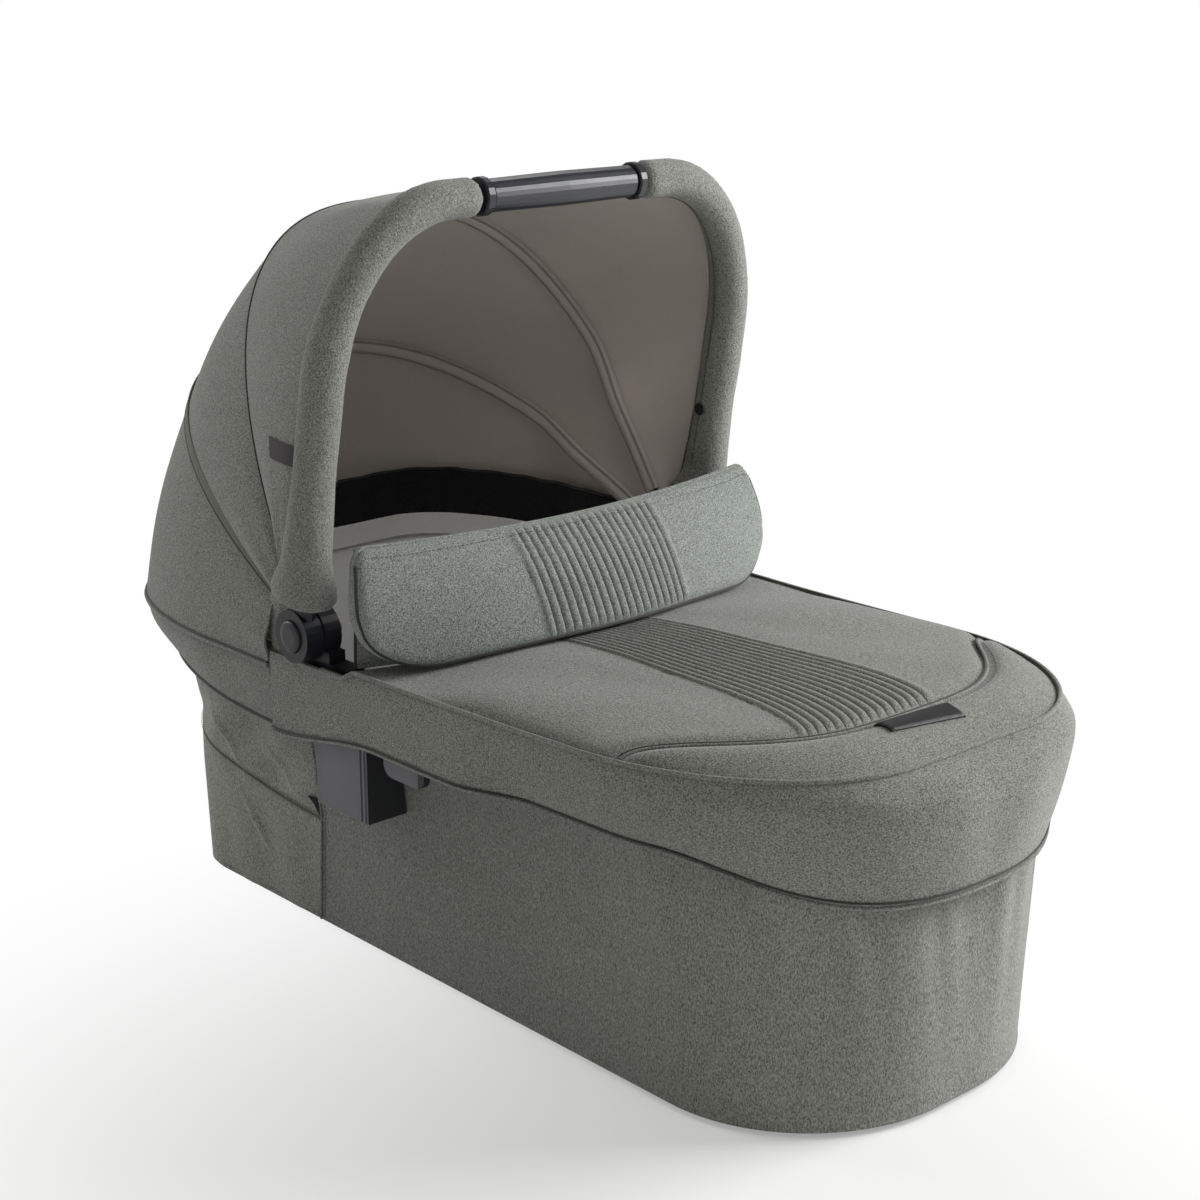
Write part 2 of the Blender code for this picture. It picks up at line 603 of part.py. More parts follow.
def cloth_object(name, rows, thickness, finish):
    """A sheet through rows of points, which run from its lower edge up or from the foot end back."""
    rows = np.asarray(rows, float)
    height, width = rows.shape[:2]
    mesh = bpy.data.meshes.new(name)
    mesh.from_pydata([tuple(p) for p in rows.reshape(-1, 3)], [], grid_faces(height, width))
    made = add_object(name, mesh, finish)
    wall = made.modifiers.new("thickness", "SOLIDIFY")
    wall.thickness = thickness
    wall.offset = -1
    smooth_shade(made)
    return made


def shell_object(name, rings, thickness, finish):
    """A tub through closed rings from the floor up, open at the top, with its wall on the inside."""
    rings = [np.asarray(ring, float) for ring in rings]
    columns = len(rings[0])
    faces = grid_faces(len(rings), columns, wrap=True)
    faces.append(tuple(reversed(range(columns))))
    mesh = bpy.data.meshes.new(name)
    mesh.from_pydata([tuple(p) for p in np.concatenate(rings)], [], faces)
    made = add_object(name, mesh, finish)
    wall = made.modifiers.new("thickness", "SOLIDIFY")
    wall.thickness = thickness
    wall.offset = -1
    wall.use_even_offset = True
    smooth_shade(made)
    return made


def ring_solid(name, rings, finish, closed_ends=True):
    """A closed solid lofted through closed rings of points, capped or joined end to start."""
    rings = [np.asarray(ring, float) for ring in rings]
    columns = len(rings[0])
    points = np.concatenate(rings)
    faces = grid_faces(len(rings), columns, wrap=True)
    if closed_ends:
        faces.append(tuple(range(columns)))
        faces.append(tuple((len(rings) - 1) * columns + c for c in reversed(range(columns))))
    else:
        last = (len(rings) - 1) * columns
        for c in range(columns):
            d = (c + 1) % columns
            faces.append((last + c, last + d, d, c))
    made = add_object(name, mesh_from(name, points, faces), finish)
    smooth_shade(made)
    return made


def with_height(outline, z):
    """Give an outline of (x, y) points a height, one number or one for each point."""
    heights = np.full(len(outline), z) if np.isscalar(z) else np.asarray(z)
    return np.column_stack([outline, heights])


def box_object(name, low, high, finish=None, collection=PARTS):
    """A box between two corners, from a unit cube."""
    shape = bmesh.new()
    bmesh.ops.create_cube(shape, size=1)
    size = Vector(high) - Vector(low)
    middle = (Vector(high) + Vector(low)) / 2
    bmesh.ops.scale(shape, vec=size, verts=shape.verts)
    bmesh.ops.translate(shape, vec=middle, verts=shape.verts)
    mesh = bpy.data.meshes.new(name)
    shape.to_mesh(mesh)
    shape.free()
    return add_object(name, mesh, finish, collection)


def rod_object(name, start, end, radius, finish=None, collection=PARTS, segments=ROUND_SEGMENTS, tip=None):
    """A cylinder or cone between two points."""
    start = Vector(start)
    end = Vector(end)
    along = end - start
    shape = bmesh.new()
    bmesh.ops.create_cone(
        shape, cap_ends=True, segments=segments, radius1=radius,
        radius2=radius if tip is None else tip, depth=along.length,
    )
    turn = Vector((0, 0, 1)).rotation_difference(along).to_matrix().to_4x4()
    bmesh.ops.transform(shape, matrix=Matrix.Translation((start + end) / 2) @ turn, verts=shape.verts)
    mesh = bpy.data.meshes.new(name)
    shape.to_mesh(mesh)
    shape.free()
    return add_object(name, mesh, finish, collection)


def hide_cutter(cutter):
    """Keep a cutter out of the picture."""
    cutter.hide_render = True
    cutter.display_type = "WIRE"


def apply_boolean(target, other, operation):
    """Cut or join a mesh with another and keep the result in the target's mesh."""
    step = target.modifiers.new(operation.lower(), "BOOLEAN")
    step.operation = operation
    step.solver = "EXACT"
    step.object = other
    bpy.context.view_layer.update()
    graph = bpy.context.evaluated_depsgraph_get()
    result = bpy.data.meshes.new_from_object(target.evaluated_get(graph))
    target.modifiers.clear()
    target.data = result


def cut(target, cutter):
    """Take a cutter away from a piece."""
    hide_cutter(cutter)
    apply_boolean(target, cutter, "DIFFERENCE")


def join(target, *others):
    """Join solids to a piece and remove the loose copies."""
    for other in others:
        apply_boolean(target, other, "UNION")
        bpy.data.objects.remove(other)


def bevel(made, width, segments=2, degrees=50):
    """Round the real edges of a piece."""
    step = made.modifiers.new("rounded_edges", "BEVEL")
    step.width = width
    step.segments = segments
    step.limit_method = "ANGLE"
    step.angle_limit = math.radians(degrees)


def tube_object(name, points, radius, finish, cyclic=False, resolution=2):
    """A round tube or wire along points, made a welded mesh."""
    curve = bpy.data.curves.new(name, "CURVE")
    curve.dimensions = "3D"
    curve.bevel_depth = radius
    curve.bevel_resolution = resolution
    curve.use_fill_caps = True
    spline = curve.splines.new("POLY")
    spline.points.add(len(points) - 1)
    for target, source in zip(spline.points, points):
        target.co = (*source, 1)
    spline.use_cyclic_u = cyclic
    guide = bpy.data.objects.new(name + "_curve", curve)
    CUTTERS.objects.link(guide)
    bpy.context.view_layer.update()
    graph = bpy.context.evaluated_depsgraph_get()
    mesh = bpy.data.meshes.new_from_object(guide.evaluated_get(graph))
    mesh.name = name
    shape = bmesh.new()
    shape.from_mesh(mesh)
    bmesh.ops.remove_doubles(shape, verts=shape.verts, dist=CLEARANCE / 30)
    bmesh.ops.recalc_face_normals(shape, faces=shape.faces)
    shape.to_mesh(mesh)
    shape.free()
    bpy.data.objects.remove(guide)
    mesh.materials.clear()
    made = add_object(name, mesh, finish)
    smooth_shade(made)
    return made


def turned_object(name, profile, finish, place, segments=ROUND_SEGMENTS, collection=PARTS):
    """A ring turned about the X direction from a closed profile of (x, radius) points."""
    mesh = bpy.data.meshes.new(name)
    count = len(profile)
    mesh.from_pydata([(r, 0, x) for x, r in profile], [(i, (i + 1) % count) for i in range(count)], [])
    made = add_object(name, mesh, finish, collection)
    turn = made.modifiers.new("turning", "SCREW")
    turn.axis = "Z"
    turn.steps = segments
    turn.render_steps = segments
    turn.use_merge_vertices = True
    turn.merge_threshold = CLEARANCE / 30
    turn.use_normal_calculate = True
    made.rotation_euler = (0, math.pi / 2, 0)
    made.location = place
    return made


def set_origin(made, place):
    """Move an object's origin to a point and leave its shape where it is."""
    place = Vector(place)
    made.data.transform(Matrix.Translation(-place))
    made.location = place


def side_name(side):
    return "left" if side < 0 else "right"


def mirror_to_right(made):
    """The right-hand twin of a left-hand piece."""
    mesh = made.data.copy()
    mesh.transform(made.matrix_world)
    mesh.transform(Matrix.Scale(-1, 4, Vector((1, 0, 0))))
    mesh.flip_normals()
    twin = bpy.data.objects.new(made.name.replace("_left", "_right"), mesh)
    PARTS.objects.link(twin)
    return twin


# The tub

def build_base_tray():
    """Moulded tray: rimmed floor with ribs, vent slots and four sockets for the braces."""
    floor_z = FOOT_PAD_HEIGHT
    outer = BASE_PLAN.grown(-COVER_THICKNESS - CLEARANCE)
    rings = [with_height(outer.loop(), z) for z in (floor_z, floor_z + TRAY_WALL_HEIGHT)]
    tray = shell_object("base_tray", rings, TRAY_THICKNESS, "tray_plastic")
    rib_top = floor_z + TRAY_THICKNESS + TRAY_RIB_HEIGHT
    rib_bottom = floor_z + TRAY_THICKNESS / 2
    middle = (BASE_HEAD_REACH - BASE_FOOT_REACH) / 2
    reach = (BASE_HEAD_REACH + BASE_FOOT_REACH) / 2 - TRAY_RIB_INSET
    across = BASE_HALF_WIDTH - TRAY_RIB_INSET
    half = TRAY_RIB_WIDTH / 2
    for x in (-TRAY_LONG_RIB_X, TRAY_LONG_RIB_X):
        rib = box_object("long_rib", (x - half, middle - reach, rib_bottom), (x + half, middle + reach, rib_top))
        join(tray, rib)
    cross_count = int(reach // TRAY_CROSS_RIB_PITCH)
    for step in range(-cross_count, cross_count + 1):
        y = middle + step * TRAY_CROSS_RIB_PITCH
        width = across if abs(y - middle) < reach - BASE_FOOT_CORNER_ALONG / 2 else across / 2
        rib = box_object("cross_rib", (-width, y - half, rib_bottom), (width, y + half, rib_top))
        join(tray, rib)
    for side in (-1, 1):
        for along in (-1, 1):
            y = end_y(along, BRACE_BOSS_END_INSET)
            x = side * brace_foot_x()
            top = floor_z + TRAY_THICKNESS + BRACE_BOSS_HEIGHT
            boss = rod_object(
                "brace_boss", (x, y, rib_bottom), (x, y, top), BRACE_BOSS_RADIUS, segments=SMALL_SEGMENTS
            )
            join(tray, boss)
            socket = rod_object(
                "brace_socket", (x, y, top - BRACE_SOCKET_DEPTH), (x, y, top + OVERRUN),
                BRACE_RADIUS + 2 * CLEARANCE, collection=CUTTERS, segments=SMALL_SEGMENTS,
            )
            cut(tray, socket)
    for row in (-1, 1):
        for step in (-1, 0, 1):
            x = step * TRAY_VENT_PITCH
            y = middle + row * TRAY_CROSS_RIB_PITCH / 2
            slot = box_object(
                "vent_slot",
                (x - TRAY_VENT_WIDTH / 2, y - TRAY_VENT_LENGTH / 2, floor_z - OVERRUN),
                (x + TRAY_VENT_WIDTH / 2, y + TRAY_VENT_LENGTH / 2, rib_top + OVERRUN),
                collection=CUTTERS,
            )
            cut(tray, slot)
    smooth_shade(tray)


def brace_foot_x():
    """Distance of a brace socket from the middle of the tray."""
    return BASE_HALF_WIDTH - BRACE_BOSS_INSET


def end_y(along, inset):
    """Place along the tray at a distance in from its foot end (-1) or its head end (1)."""
    return -BASE_FOOT_REACH + inset if along < 0 else BASE_HEAD_REACH - inset


def build_foot_pads():
    """Four rubber feet that carry the tray."""
    for along, end in ((-1, "foot_end"), (1, "head_end")):
        for side in (-1, 1):
            x = side * FOOT_PAD_X
            y = end_y(along, FOOT_PAD_END_INSET)
            pad = rod_object(
                f"foot_pad_{end}_{side_name(side)}", (x, y, 0), (x, y, FOOT_PAD_HEIGHT - CLEARANCE),
                FOOT_PAD_TIP_RADIUS, "foot_rubber", tip=FOOT_PAD_RADIUS, segments=SMALL_SEGMENTS,
            )
            smooth_shade(pad)


def cover_rows(run):
    """Rows of a cover, up the flaring wall and over the rim tube."""
    rows = [with_height(run(wall_plan(z)), z) for z in wall_levels()]
    for angle in np.linspace(WRAP_START, WRAP_END, WRAP_STEPS + 1)[1:]:
        plan = RIM_PLAN.grown(WRAP_RADIUS * math.cos(angle))
        rows.append(with_height(run(plan), RIM_HEIGHT + WRAP_RADIUS * math.sin(angle)))
    return rows


def build_covers():
    """Front and rear fabric covers, notched round the hinge housings."""
    front_rows = cover_rows(lambda plan: plan.foot_run(COVER_SEAM_Y - SEAM_GAP / 2))
    rear_rows = cover_rows(lambda plan: plan.head_run(COVER_SEAM_Y + SEAM_GAP / 2))
    front = cloth_object("tub_cover_front", front_rows, COVER_THICKNESS, "outer_fabric")
    cloth_object("tub_cover_rear", rear_rows, COVER_THICKNESS, "outer_fabric")
    for side in (-1, 1):
        x_near = side * (RIM_HALF_WIDTH - 3 * RIM_TUBE_RADIUS)
        x_far = side * (RIM_HALF_WIDTH + 3 * RIM_TUBE_RADIUS)
        low = (min(x_near, x_far), POD_NOTCH_FOOT_Y, SOCKET_BLOCK_BOTTOM - POD_NOTCH_DROP)
        high = (max(x_near, x_far), COVER_SEAM_Y, RIM_HEIGHT + 2 * WRAP_RADIUS)
        notch = box_object("pod_notch_" + side_name(side), low, high, collection=CUTTERS)
        cut(front, notch)
    smooth_shade(front)


def build_rim():
    """Two U-shaped rim tubes whose ends sit in the hinge housings."""
    foot_end = SOCKET_BLOCK_FOOT_Y + SOCKET_DEPTH - CLEARANCE
    head_end = SOCKET_BLOCK_HEAD_Y - SOCKET_DEPTH + CLEARANCE
    front = with_height(RIM_PLAN.foot_run(foot_end), RIM_HEIGHT)
    rear = with_height(RIM_PLAN.head_run(head_end), RIM_HEIGHT)
    tube_object("rim_tube_front", front, RIM_TUBE_RADIUS, "tube_aluminium")
    tube_object("rim_tube_rear", rear, RIM_TUBE_RADIUS, "tube_aluminium")


def end_run(plan, along, y):
    """Part of an outline round the foot end (-1) or the head end (1) beyond a place along the cot."""
    return plan.foot_run(y) if along < 0 else plan.head_run(y)


def brace_path(along):
    """Route of a wire brace: out of its socket, up the wall and round one end below the rim."""
    inset = COVER_THICKNESS + 2 * CLEARANCE + BRACE_RADIUS
    low_z = FOOT_PAD_HEIGHT + TRAY_THICKNESS + BRACE_BOSS_HEIGHT
    foot_z = low_z - BRACE_SOCKET_DEPTH + CLEARANCE
    low_share = (low_z + BRACE_BOSS_HEIGHT - FOOT_PAD_HEIGHT) / (WALL_TOP_Z - FOOT_PAD_HEIGHT)
    socket_y = end_y(along, BRACE_BOSS_END_INSET)
    count = len(end_run(RIM_PLAN, along, socket_y))
    points = []
    for i in range(count):
        share = i / (count - 1)
        rise = low_share + (BRACE_TOP_SHARE - low_share) * smooth(2 * min(share, 1 - share))
        z = FOOT_PAD_HEIGHT + rise * (WALL_TOP_Z - FOOT_PAD_HEIGHT)
        run = end_run(wall_plan(z).grown(-inset), along, socket_y)
        points.append((run[i][0], run[i][1], z))
    start_side = -1 if along < 0 else 1
    start = [(start_side * brace_foot_x(), socket_y, z) for z in (foot_z, low_z + OVERRUN)]
    end = [(-x, y, z) for x, y, z in reversed(start)]
    return start + points + end


def build_braces():
    """Wire braces that hold the foot end and the head end up."""
    tube_object("brace_foot_end", brace_path(-1), BRACE_RADIUS, "steel_wire")
    tube_object("brace_head_end", brace_path(1), BRACE_RADIUS, "steel_wire")


LINER_FLOOR_Z = FOOT_PAD_HEIGHT + TRAY_THICKNESS + TRAY_RIB_HEIGHT + CLEARANCE
LINER_TOP_Z = RIM_HEIGHT + WRAP_RADIUS - CLEARANCE


def liner_plan(z):
    """Outer outline of the liner: inside the tray and the braces below, inside the rim tube above."""
    level = (z - FOOT_PAD_HEIGHT) / (WALL_TOP_Z - FOOT_PAD_HEIGHT)
    rim_inset = RIM_TUBE_RADIUS + LINER_RIM_INSET + WRAP_RADIUS * math.cos(WRAP_START)
    inset = LINER_FOOT_INSET + (rim_inset - LINER_FOOT_INSET) * min(level, 1)
    return wall_plan(z).grown(-inset)


def build_liner():
    """Soft inner liner: a floor on the tray's ribs and walls up to the rim."""
    heights = [LINER_FLOOR_Z] + wall_levels()[1:] + [LINER_TOP_Z]
    rings = [with_height(liner_plan(z).loop(), z) for z in heights]
    shell_object("inner_liner", rings, LINER_THICKNESS, "liner_fabric")


def build_mattress():
    """Mattress with a crown, rounded edges and sides drawn in at the middle."""
    floor_z = LINER_FLOOR_Z + LINER_THICKNESS + CLEARANCE
    plan = liner_plan(LINER_FLOOR_Z).grown(-LINER_THICKNESS - MATTRESS_GAP)
    edge = MATTRESS_EDGE_RADIUS
    top = MATTRESS_THICKNESS
    rings = [with_height(plan.grown(inset).loop(), floor_z + z) for inset, z in (
        (-edge, 0), (-edge / 4, edge / 4), (0, edge), (-edge / 5, top / 2), (0, top - edge),
        (-edge / 4, top - edge / 4), (-edge, top),
    )]
    middle = np.array([0, (BASE_HEAD_REACH - BASE_FOOT_REACH) / 2])
    for share, rise_share in MATTRESS_CROWN_SHARES:
        ring = middle + (plan.grown(-edge).loop() - middle) * share
        rings.append(with_height(ring, floor_z + top + MATTRESS_CROWN * rise_share))
    ring_solid("mattress", rings, "mattress_cloth")


def build_mesh_band():
    """Dark mesh band that stands on the rim round the head end, inside the hood."""
    plan = RIM_PLAN.grown(-RIM_TUBE_RADIUS - LINER_RIM_INSET - LINER_THICKNESS - CLEARANCE)
    heights = (LINER_TOP_Z - MESH_BAND_TUCK, MESH_BAND_TOP)
    rows = [with_height(plan.head_run(MESH_BAND_START_Y), z) for z in heights]
    cloth_object("vent_mesh_band", rows, MESH_THICKNESS, "mesh_fabric")


def build_rear_band():
    """Fabric band round the outside of the head end, hooked over the rim."""
    crown_radius = WRAP_RADIUS + 3 * CLEARANCE + BAND_THICKNESS
    crown = math.radians(REAR_BAND_CROWN_DEG)
    band = Plan(
        REAR_BAND_HALF_WIDTH, REAR_BAND_HALF_WIDTH, RIM_FOOT_REACH, REAR_BAND_HEAD_REACH,
        RIM_FOOT_CORNER_ACROSS, RIM_FOOT_CORNER_ALONG, REAR_BAND_CORNER_ACROSS, REAR_BAND_CORNER_ALONG,
    )
    hem = Plan(
        REAR_BAND_HEM_HALF_WIDTH, REAR_BAND_HEM_HALF_WIDTH, RIM_FOOT_REACH, REAR_BAND_HEM_HEAD_REACH,
        RIM_FOOT_CORNER_ACROSS, RIM_FOOT_CORNER_ALONG, REAR_BAND_CORNER_ACROSS, REAR_BAND_CORNER_ALONG,
    )
    stations = [
        (RIM_PLAN.grown(crown_radius * math.cos(crown)), RIM_HEIGHT + crown_radius * math.sin(crown)),
        (RIM_PLAN.grown(crown_radius).mixed(band, REAR_BAND_SHOULDER_SHARE), RIM_HEIGHT + RIM_TUBE_RADIUS / 2),
        (band, RIM_HEIGHT - RIM_TUBE_RADIUS / 2),
        (band.mixed(hem, REAR_BAND_WAIST_SHARE), (RIM_HEIGHT + REAR_BAND_HEM_Z) / 2),
        (hem, None),
    ]
    rows = []
    for plan, z in reversed(stations):
        run = plan.head_run(REAR_BAND_START_Y)
        if z is None:
            rise = [smooth((y - REAR_BAND_START_Y) / (plan.head - REAR_BAND_START_Y)) for x, y in run]
            z = REAR_BAND_HEM_SIDE_Z + (REAR_BAND_HEM_Z - REAR_BAND_HEM_SIDE_Z) * np.array(rise)
        rows.append(with_height(run, z))
    cloth_object("rear_band", rows, BAND_THICKNESS, "outer_fabric")


# The hinges

def build_hinge_housing(side):
    """Moulded housing: a pivot drum on a block that holds the ends of both rim tubes."""
    name = "hinge_housing_" + side_name(side)
    low_x, high_x = sorted((side * SOCKET_BLOCK_INNER_X, side * SOCKET_BLOCK_OUTER_X))
    block = box_object(
        name, (low_x, SOCKET_BLOCK_FOOT_Y, SOCKET_BLOCK_BOTTOM), (high_x, SOCKET_BLOCK_HEAD_Y, SOCKET_BLOCK_TOP),
        "dark_plastic",
    )
    drum = rod_object(
        "drum", (side * HOUSING_INNER_X, HINGE_Y, HINGE_Z), (side * HOUSING_OUTER_X, HINGE_Y, HINGE_Z), DRUM_RADIUS
    )
    gusset_half = DRUM_RADIUS * 1.15
    gusset = box_object(
        "gusset",
        (min(side * HOUSING_INNER_X, side * HOUSING_OUTER_X), HINGE_Y - gusset_half, SOCKET_BLOCK_BOTTOM + OVERRUN),
        (max(side * HOUSING_INNER_X, side * HOUSING_OUTER_X), HINGE_Y + gusset_half, HINGE_Z - DRUM_RADIUS / 2),
    )
    join(block, drum, gusset)
    x = side * RIM_HALF_WIDTH
    bore = RIM_TUBE_RADIUS + CLEARANCE
    for mouth, depth in ((SOCKET_BLOCK_FOOT_Y, SOCKET_DEPTH), (SOCKET_BLOCK_HEAD_Y, -SOCKET_DEPTH)):
        start = (x, mouth - math.copysign(OVERRUN, depth), RIM_HEIGHT)
        socket = rod_object("rim_socket", start, (x, mouth + depth, RIM_HEIGHT), bore, collection=CUTTERS)
        cut(block, socket)
    hole = rod_object(
        "pin_hole", (side * (HOUSING_INNER_X - OVERRUN), HINGE_Y, HINGE_Z),
        (side * (HOUSING_OUTER_X + OVERRUN), HINGE_Y, HINGE_Z), PIN_RADIUS + CLEARANCE,
        collection=CUTTERS, segments=SMALL_SEGMENTS,
    )
    cut(block, hole)
    smooth_shade(block)


def eyelet_x(order):
    """Inner face of a bow's eyelet: order 0 lies next to the housing, order 1 further in."""
    return HOUSING_INNER_X - (order + 1) * (EYELET_THICKNESS + CLEARANCE + LEG_RUNNING_GAP / 2)


def leg_inner_x():
    return HOUSING_OUTER_X + LEG_RUNNING_GAP


def build_pivot_pin(side):
    """Steel pin through both eyelets, the housing and the handle's disc."""
    head_x = eyelet_x(1) - CLEARANCE
    end_x = leg_inner_x() + PIN_ENGAGEMENT
    pin = rod_object(
        "pivot_pin_" + side_name(side), (side * head_x, HINGE_Y, HINGE_Z), (side * end_x, HINGE_Y, HINGE_Z),
        PIN_RADIUS, "steel_wire", segments=SMALL_SEGMENTS,
    )
    head = rod_object(
        "pin_head", (side * (head_x - PIN_HEAD_THICKNESS), HINGE_Y, HINGE_Z),
        (side * head_x, HINGE_Y, HINGE_Z), PIN_HEAD_RADIUS, segments=SMALL_SEGMENTS,
    )
    join(pin, head)
    smooth_shade(pin)


# The handle

def arch_point(x, up):
    """A point of the handle's leaning plane: x across, up from the hinge."""
    lean = math.radians(HANDLE_LEAN_DEG)
    return Vector((x, HINGE_Y - up * math.sin(lean), HINGE_Z + up * math.cos(lean)))


ARCH_NORMAL = Vector((0, math.cos(math.radians(HANDLE_LEAN_DEG)), math.sin(math.radians(HANDLE_LEAN_DEG))))


def half_arch(start, steps=SIDE_STEPS):
    """Half of the arch as (x, up) points: a leg, an elliptical shoulder and the flat top."""
    shoulder_up = ARCH_HEIGHT - ARCH_SHOULDER_ALONG
    shoulder_x = ARCH_HALF_SPAN - ARCH_SHOULDER_ACROSS
    points = []
    for up in np.linspace(start, shoulder_up, steps + 2)[:-1]:
        share = max(shoulder_up - up, 0.0) / shoulder_up
        points.append((ARCH_HALF_SPAN + (ARCH_FOOT_HALF_SPAN - ARCH_HALF_SPAN) * share, up))
    for angle in np.linspace(0, math.pi / 2, CORNER_STEPS + 2):
        across = shoulder_x + ARCH_SHOULDER_ACROSS * math.cos(angle)
        points.append((across, shoulder_up + ARCH_SHOULDER_ALONG * math.sin(angle)))
    return points


def build_handle_tube():
    """Bent tube that runs from one leg casting over the arch to the other."""
    start = STEM_END - STEM_SOCKET_DEPTH + CLEARANCE
    half = half_arch(start)
    points = [arch_point(-x, up) for x, up in half]
    points += [arch_point(x, up) for x, up in reversed(half)]
    tube_object("handle_tube", points, HANDLE_TUBE_RADIUS, "tube_aluminium", resolution=2)


def stem_radii(up):
    """Half depth (along X) and half width of a leg casting's stem at a height; full depth all along the socket."""
    share = smooth((up - STEM_START) / (STEM_END - STEM_START))
    depth_share = smooth((up - STEM_START) / (STEM_END - STEM_SOCKET_DEPTH - STEM_START))
    depth = STEM_FOOT_HALF_DEPTH + (STEM_TOP_RADIUS - STEM_FOOT_HALF_DEPTH) * depth_share
    width = STEM_FOOT_HALF_WIDTH + (STEM_TOP_RADIUS - STEM_FOOT_HALF_WIDTH) * share
    return depth, width


def stem_stations():
    """Heights at which the stem and the sleeve's bore round it are both shaped."""
    return SLEEVE_START, 0.5 * (SLEEVE_START + STEM_END), STEM_END


def leg_x(up):
    """Distance of the leg's centre line from the middle at a height."""
    shoulder_up = ARCH_HEIGHT - ARCH_SHOULDER_ALONG
    return ARCH_HALF_SPAN + (ARCH_FOOT_HALF_SPAN - ARCH_HALF_SPAN) * (1 - up / shoulder_up)


def oval(centre, first, second, half_first, half_second, segments):
    """Closed ring of points on an ellipse spanned by two directions."""
    angles = np.linspace(0, 2 * math.pi, segments, endpoint=False)
    return [centre + first * half_first * math.cos(a) + second * half_second * math.sin(a) for a in angles]


def build_handle_legs():
    """Leg castings: hinge disc with the button's recess and a stem with the tube's socket."""
    side = -1
    name = "handle_leg_left"
    inner = leg_inner_x()
    outer = inner + LEG_DISC_THICKNESS
    disc = rod_object(
        name, (side * inner, HINGE_Y, HINGE_Z), (side * outer, HINGE_Y, HINGE_Z), LEG_DISC_RADIUS, "dark_plastic"
    )
    across = Vector((1, 0, 0))
    rings = []
    for up in (0, *stem_stations()):
        depth, width = stem_radii(up)
        rings.append(oval(arch_point(side * leg_x(up), up), across, ARCH_NORMAL, depth, width, SMALL_SEGMENTS))
    join(disc, ring_solid("stem", rings, None))
    socket = rod_object(
        "tube_socket", arch_point(side * leg_x(STEM_END), STEM_END - STEM_SOCKET_DEPTH),
        arch_point(side * leg_x(STEM_END), STEM_END + OVERRUN), HANDLE_TUBE_RADIUS + 3 * CLEARANCE,
        collection=CUTTERS, segments=SMALL_SEGMENTS,
    )
    cut(disc, socket)
    recess = rod_object(
        "button_recess", (side * (outer - BUTTON_RECESS_DEPTH), HINGE_Y, HINGE_Z),
        (side * (outer + OVERRUN), HINGE_Y, HINGE_Z), BUTTON_RADIUS + BUTTON_RUNNING_GAP, collection=CUTTERS,
    )
    cut(disc, recess)
    hole = rod_object(
        "pin_seat", (side * (inner - OVERRUN), HINGE_Y, HINGE_Z),
        (side * (inner + PIN_ENGAGEMENT + CLEARANCE), HINGE_Y, HINGE_Z), PIN_RADIUS + CLEARANCE,
        collection=CUTTERS, segments=SMALL_SEGMENTS,
    )
    cut(disc, hole)
    groove_depth = outer - BUTTON_RING_DEPTH
    groove = turned_object("ring_groove", [
        (side * groove_depth, BUTTON_RING_RADIUS - BUTTON_RING_WIDTH), (side * groove_depth, BUTTON_RING_RADIUS),
        (side * (outer + OVERRUN), BUTTON_RING_RADIUS), (side * (outer + OVERRUN), BUTTON_RING_RADIUS - BUTTON_RING_WIDTH),
    ], None, (0, HINGE_Y, HINGE_Z), collection=CUTTERS)
    cut(disc, groove)
    smooth_shade(disc)
    for leg in (disc, mirror_to_right(disc)):
        set_origin(leg, (0, HINGE_Y, HINGE_Z))


def build_hinge_button(side):
    """Round press button in the middle of the handle's disc, slightly domed."""
    face = leg_inner_x() + LEG_DISC_THICKNESS + BUTTON_PROUD
    back = face - BUTTON_THICKNESS
    rings = []
    across = Vector((0, 1, 0))
    up = Vector((0, 0, 1))
    for x, share in ((back, 1.0), (face - BUTTON_PROUD / 2, 1.0), (face - BUTTON_PROUD / 5, 0.9), (face, 0.62)):
        centre = Vector((side * x, HINGE_Y, HINGE_Z))
        rings.append(oval(centre, across, up, BUTTON_RADIUS * share, BUTTON_RADIUS * share, ROUND_SEGMENTS))
    button = ring_solid("hinge_button_" + side_name(side), rings, "dark_plastic")
    set_origin(button, (side * back, HINGE_Y, HINGE_Z))


def coil_points(start, axis, first, second, radius, length, turns):
    """Points along an open coil spring."""
    count = int(turns * SPRING_POINTS_PER_TURN)
    points = []
    for i in range(count + 1):
        turn = 2 * math.pi * turns * i / count
        place = Vector(start) + axis * (length * i / count)
        points.append(place + first * (radius * math.cos(turn)) + second * (radius * math.sin(turn)))
    return points


def build_hinge_spring(side):
    """Coil spring that pushes the press button out."""
    outer = leg_inner_x() + LEG_DISC_THICKNESS
    start = outer - BUTTON_RECESS_DEPTH + SPRING_WIRE_RADIUS + CLEARANCE
    end = outer + BUTTON_PROUD - BUTTON_THICKNESS - SPRING_WIRE_RADIUS - CLEARANCE
    points = coil_points(
        (side * start, HINGE_Y, HINGE_Z), Vector((side, 0, 0)), Vector((0, 1, 0)), Vector((0, 0, 1)),
        HINGE_SPRING_RADIUS, end - start, SPRING_TURNS,
    )
    tube_object("hinge_spring_" + side_name(side), points, SPRING_WIRE_RADIUS, "steel_wire", resolution=1)


def sleeve_radii(up, along_top):
    """Half depth in the arch's plane and half width across it, swelling over the leg casting."""
    if along_top:
        return SLEEVE_RADIUS, SLEEVE_RADIUS
    share = smooth((up - SLEEVE_START) / (SLEEVE_SWELL_END - SLEEVE_START)) ** 0.5
    depth = SLEEVE_FOOT_HALF_DEPTH + (SLEEVE_LEG_RADIUS - SLEEVE_FOOT_HALF_DEPTH) * share
    width = SLEEVE_FOOT_HALF_WIDTH + (SLEEVE_LEG_RADIUS - SLEEVE_FOOT_HALF_WIDTH) * share
    return depth, width


